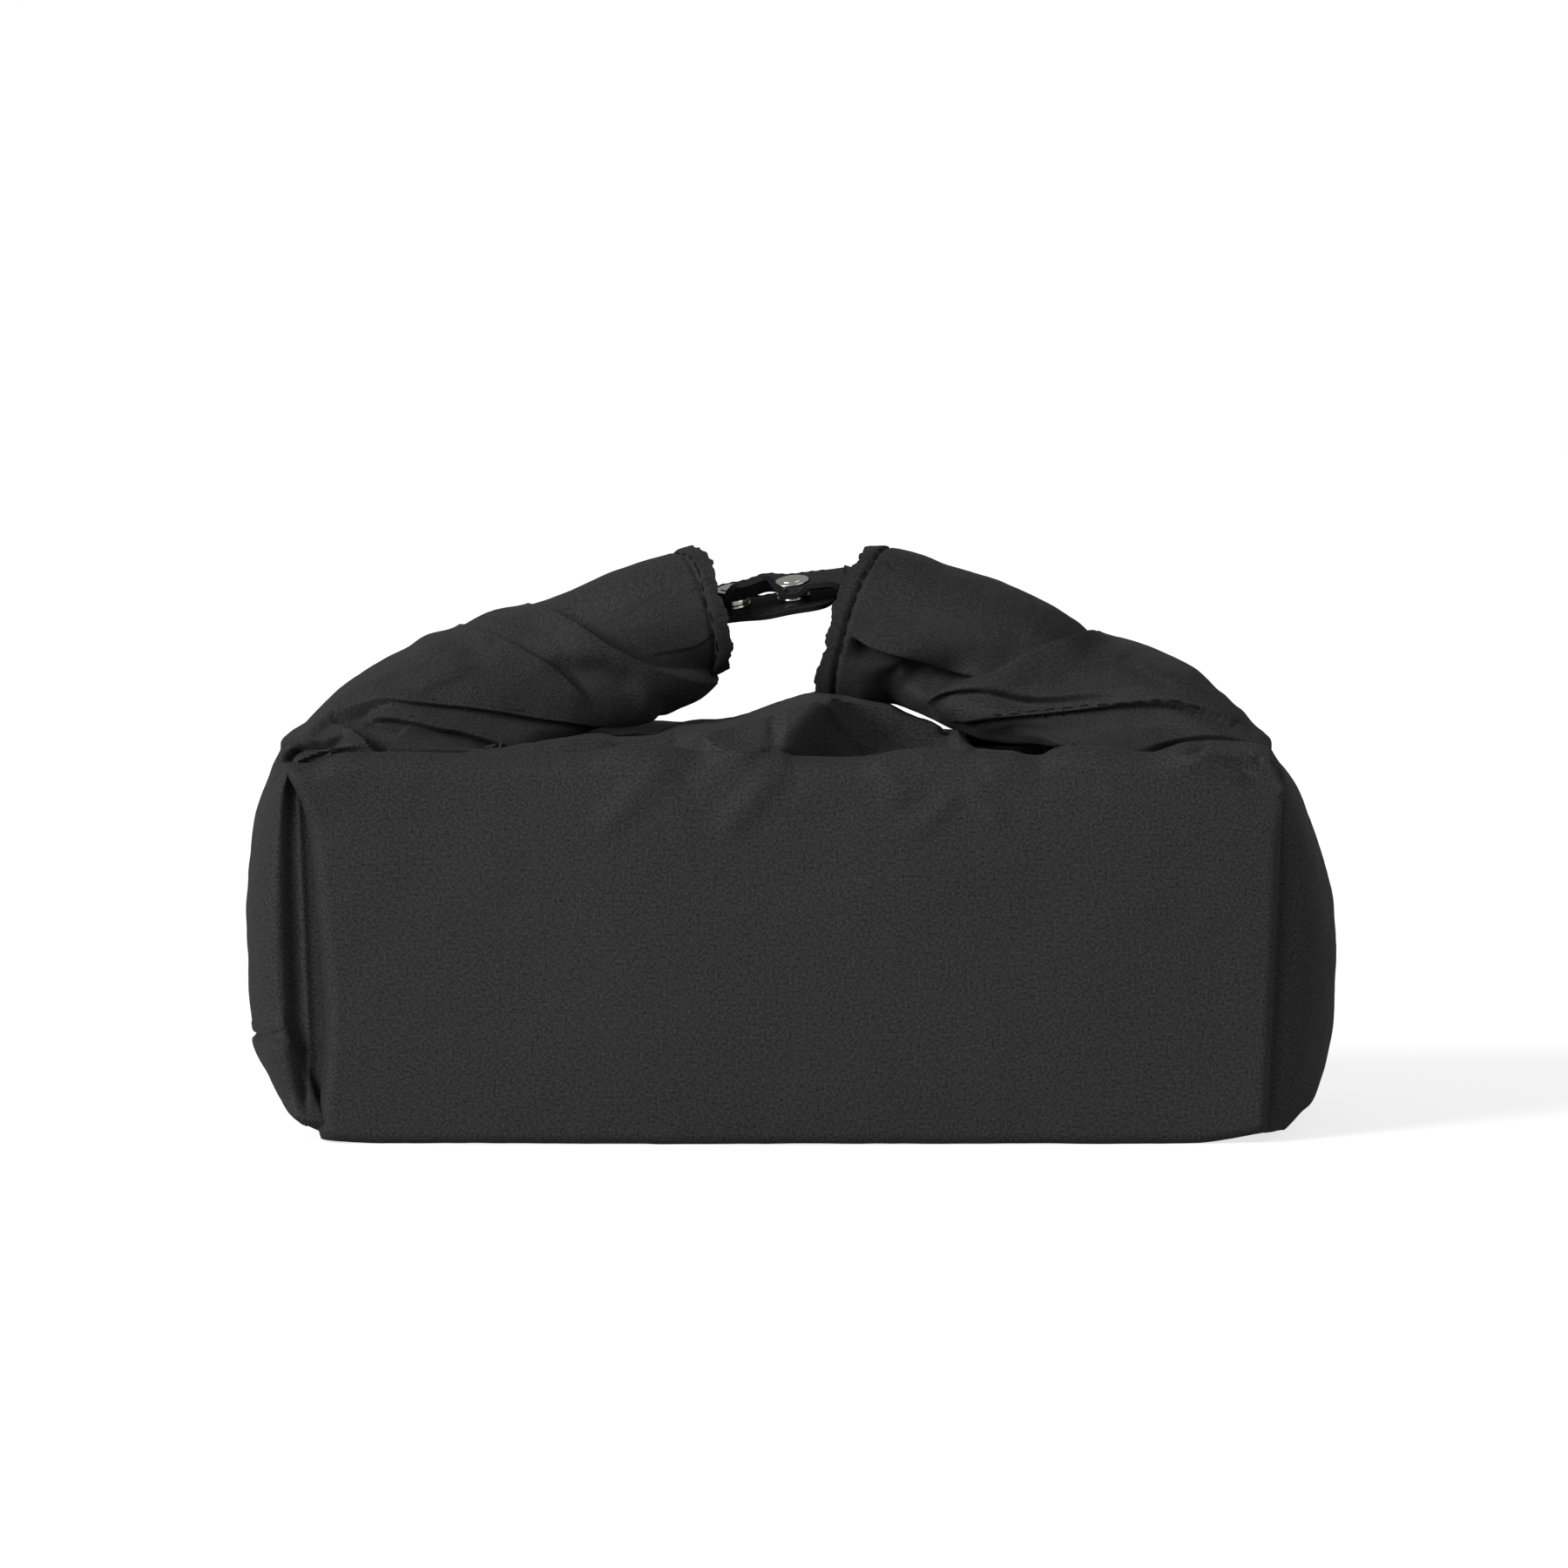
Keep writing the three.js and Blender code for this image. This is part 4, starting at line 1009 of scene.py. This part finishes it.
neckline = [(45, 107.8), (52, 109), (59.5, 109.6), (68.5, 110.5), (77.5, 111.5), (86.5, 112.5),
            (95.5, 113.1), (102.5, 113), (109, 111.7)]
for title, seams in (("left", []), ("right", [neckline])):
    skin = handle_skins[title]
    normal = outward(skin, True)
    hem_row = np.argmin(np.abs(from_rim(skin) - hem_depth), axis=0)
    columns = np.arange(skin.shape[1])
    hem_line = skin[hem_row, columns] + normal[hem_row, columns] * 0.1
    hem_line = np.vstack([hem_line, hem_line[:1]])
    lines = [hem_line] + [on_skin(skin, normal, places, 0.1) for places in seams]
    hem_stitches = stitch(f"{title}_handle_stitches", lines, pitch=4.9, length=3.4, thickness=0.55)
    bend_with_handle(hem_stitches)

# Straps: two bands of folded black nylon, stitched along both edges. The upper one comes out of the handle
# on the right and arches a little between its snaps; the lower one comes out of the handle on the left.
strap_finish = cloth_finish("black_strap", (0.014, 0.014, 0.0147), 0.6, 1300, 0.4, 0.12, 0.01, 0.12)
strap_half = 10
strap_thickness = 1.4
snap_pitch = 16
upper_root, lower_root = 14.5, -22
root_gap = 0.3
strap_slope, strap_tilt = math.radians(8), math.radians(14)
strap_origin = np.array([1, 0, mouth_z - 13.6])
upper_z = 2.85
roll = np.array([[1, 0, 0], [0, math.cos(strap_tilt), -math.sin(strap_tilt)],
                 [0, math.sin(strap_tilt), math.cos(strap_tilt)]])
pitch = np.array([[math.cos(strap_slope), 0, -math.sin(strap_slope)], [0, 1, 0],
                  [math.sin(strap_slope), 0, math.cos(strap_slope)]])
strap_turn = pitch @ roll


def strap_place(points):
    """From the straps' own frame, with X along them and Z off their face, to the bag's."""
    return points @ strap_turn.T + strap_origin


def strap_band(x_from, x_to, z_top, arch):
    """A band's upper face in the straps' frame, with a round end. The upper band's front edge curls."""
    s, w = np.meshgrid(np.linspace(0, 1, 91), np.linspace(-1, 1, 27))
    x = x_from + (x_to - x_from) * s
    to_tip = np.abs(x_to - x)
    narrow = np.sqrt(np.clip(1 - np.clip(1 - to_tip / strap_half, 0, 1) ** 2.6, 0.02, 1))
    z = z_top + arch(x) - 0.45 * np.abs(w) ** 6
    if x_to < x_from:
        between_snaps = ease((x + 21) / 6) * ease((-1.4 - x) / 5)
        past_snaps = ease((x - 0.5) / 4) * ease((15 - x) / 5)
        z = z + (5.2 * between_snaps + 2.2 * past_snaps) * ease((-w - 0.5) / 0.5)
    grid = np.stack([x, w * strap_half * narrow, z], axis=2)
    return grid if x_to > x_from else grid[:, ::-1]


def upper_arch(x):
    """How far the upper band stands off its straight line."""
    return 1.2 * np.exp(-((x + snap_pitch * 0.42) / 4.2) ** 2) - 0.2 * ease((x - 4) / 8)


def lower_arch(x):
    """How far the lower band stands off its straight line."""
    return -0.5 * np.exp(-((x + snap_pitch / 2) / 5) ** 2)


upper_band = strap_place(strap_band(upper_root, -snap_pitch - 8, upper_z + strap_thickness, upper_arch))
lower_band = strap_place(strap_band(lower_root, 12.5, 0.0, lower_arch))
upper_cloth = sheet_mesh("upper_strap_band", upper_band, strap_thickness, strap_finish)
lower_cloth = sheet_mesh("lower_strap_band", lower_band, strap_thickness, strap_finish)
dress(upper_cloth, "strap", "upper_strap", "upper_strap")
dress(lower_cloth, "strap", "lower_strap", "lower_strap")
for body, band in (("upper_strap", upper_band), ("lower_strap", lower_band)):
    edges = [band[row, 3:-14] + outward(band)[row, 3:-14] * 0.05 for row in (2, -3)]
    strap_stitches = stitch(f"{body}_stitches", edges, pitch=2.6, length=1.9, thickness=0.45)
    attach(strap_stitches, body)
for title, bend_x, z, node, body in (
        ("right", upper_root + root_gap, upper_z + strap_thickness, "upper_strap_anchor", "right_handle"),
        ("left", lower_root - root_gap, 0.0, "lower_strap_anchor", "left_handle")):
    mouth = mouths[title]
    s, w = np.meshgrid(np.linspace(0, 1, 31), np.linspace(-1, 1, 17))
    start = strap_place(np.stack([np.full(w.shape, bend_x), w * strap_half, np.full(w.shape, z)], axis=2))
    upper, lower = handle_curves(mouth, np.array([0.8]))
    seat = np.array([mouth["side"] * upper[0, 0], 0, upper[0, 1] - 6.0])
    end = np.stack([np.full(w.shape, seat[0]), w * strap_half, seat[2] - 2.5 * w ** 2], axis=2)
    bend_share = (s ** 1.15)[..., None]
    anchor_skin = start + (end - start) * bend_share
    if mouth["side"] < 0:
        anchor_skin = anchor_skin[:, ::-1]
    anchor = sheet_mesh(f"{title}_strap_anchor", anchor_skin, strap_thickness, strap_finish)
    dress(anchor, "strap", body, node)

# Snap fasteners: two of four nickel plated parts each. A domed cap is turned over a shank that goes through
# the upper strap into its socket; a rivet comes up through the lower strap into its stud.
nickel, nickel_tree, nickel_shader = new_material("nickel_plate", {"Metallic": 1})
nickel_place = add_node(nickel_tree, "ShaderNodeTexCoord").outputs["Object"]
smudge = add_node(nickel_tree, "ShaderNodeTexNoise", {
    "Scale": 420, "Detail": 4, "Vector": nickel_place}).outputs["Fac"]
nickel_tone = add_node(nickel_tree, "ShaderNodeMapRange", {"To Min": 0.14, "To Max": 0.3, "Value": smudge})
nickel_colour = add_node(nickel_tree, "ShaderNodeValToRGB", {"Fac": smudge})
nickel_colour.color_ramp.elements[0].color = (0.78, 0.74, 0.66, 1)
nickel_colour.color_ramp.elements[1].color = (0.9, 0.87, 0.81, 1)
feed(nickel_tree, nickel_shader, {"Roughness": nickel_tone.outputs["Result"],
                                  "Base Color": nickel_colour.outputs["Color"]})

snap_gap = 0.15
stud_z = snap_gap
socket_z = stud_z + 0.8 + snap_gap
cap_z = upper_z + strap_thickness + snap_gap
rivet_z = -strap_thickness - snap_gap
cap_radius, ring_radius, shank_radius = 4.75, 4.4, 1.2
round_steps = 48


def quarter(radius_from, radius_to, z_from, z_to, steps=8):
    """A quarter round of a profile, from upright to level."""
    turns = np.linspace(0, math.pi / 2, steps)
    return [(radius_to + (radius_from - radius_to) * math.cos(a),
             z_from + (z_to - z_from) * math.sin(a)) for a in turns]


snap_profiles = {
    "cap": [(0.001, socket_z + 1.0), (shank_radius, socket_z + 1.0), (shank_radius, cap_z),
            (cap_radius - 0.25, cap_z), *quarter(cap_radius, 3.6, cap_z + 0.25, cap_z + 0.75),
            *quarter(3.3, 0.001, cap_z + 0.72, cap_z + 1.45, 12)],
    "socket": [(2.9, socket_z), (ring_radius - 0.3, socket_z),
               *quarter(ring_radius, ring_radius - 0.4, socket_z + 0.3, socket_z + 1.6),
               (1.35, socket_z + 1.6), (1.35, socket_z + 1.0), (2.5, socket_z + 1.0), (2.9, socket_z)],
    "stud": [(0.001, stud_z + 0.8), (1.35, stud_z + 0.8), (1.35, stud_z), (ring_radius - 0.2, stud_z),
             *quarter(ring_radius, ring_radius - 0.3, stud_z + 0.2, stud_z + 0.75), (1.9, stud_z + 0.8),
             (1.45, stud_z + 1.0), (1.62, stud_z + 1.3), *quarter(1.6, 0.001, stud_z + 1.4, stud_z + 1.62)],
    "rivet": [(0.001, rivet_z - 0.8), (3.1, rivet_z - 0.8), (3.5, rivet_z - 0.55), (3.5, rivet_z),
              (shank_radius, rivet_z), (shank_radius, 0.65), (0.001, 0.65)],
}
for title, x in (("right", 0), ("left", -snap_pitch)):
    for part, profile in snap_profiles.items():
        turns = np.linspace(0, 2 * math.pi, round_steps, endpoint=False)
        ring = np.array([[(r * math.cos(a) + x, r * math.sin(a), z) for a in turns] for r, z in profile])
        points = strap_place(ring) * mm
        snap_mesh = bpy.data.meshes.new(f"{title}_{part}")
        numbers = np.arange(ring[..., 0].size).reshape(len(profile), round_steps)
        ahead = np.roll(numbers, -1, axis=1)
        around = np.stack([numbers[:-1], ahead[:-1], ahead[1:], numbers[1:]], axis=2)
        faces = around.reshape(-1, 4).tolist()
        if part != "socket":
            faces += [numbers[0, ::-1].tolist(), numbers[-1].tolist()]
        snap_mesh.from_pydata(points.reshape(-1, 3).tolist(), [], faces)
        snap_mesh.polygons.foreach_set("use_smooth", [True] * len(snap_mesh.polygons))
        snap_mesh.set_sharp_from_angle(angle=math.radians(40))
        snap_mesh.materials.append(nickel)
        snap_piece = in_scene(f"{title}_{part}_nickel", snap_mesh)
        body = "upper_strap" if part in ("cap", "socket") else "lower_strap"
        dress(snap_piece, "metal", body, f"{title}_snap_{part}")
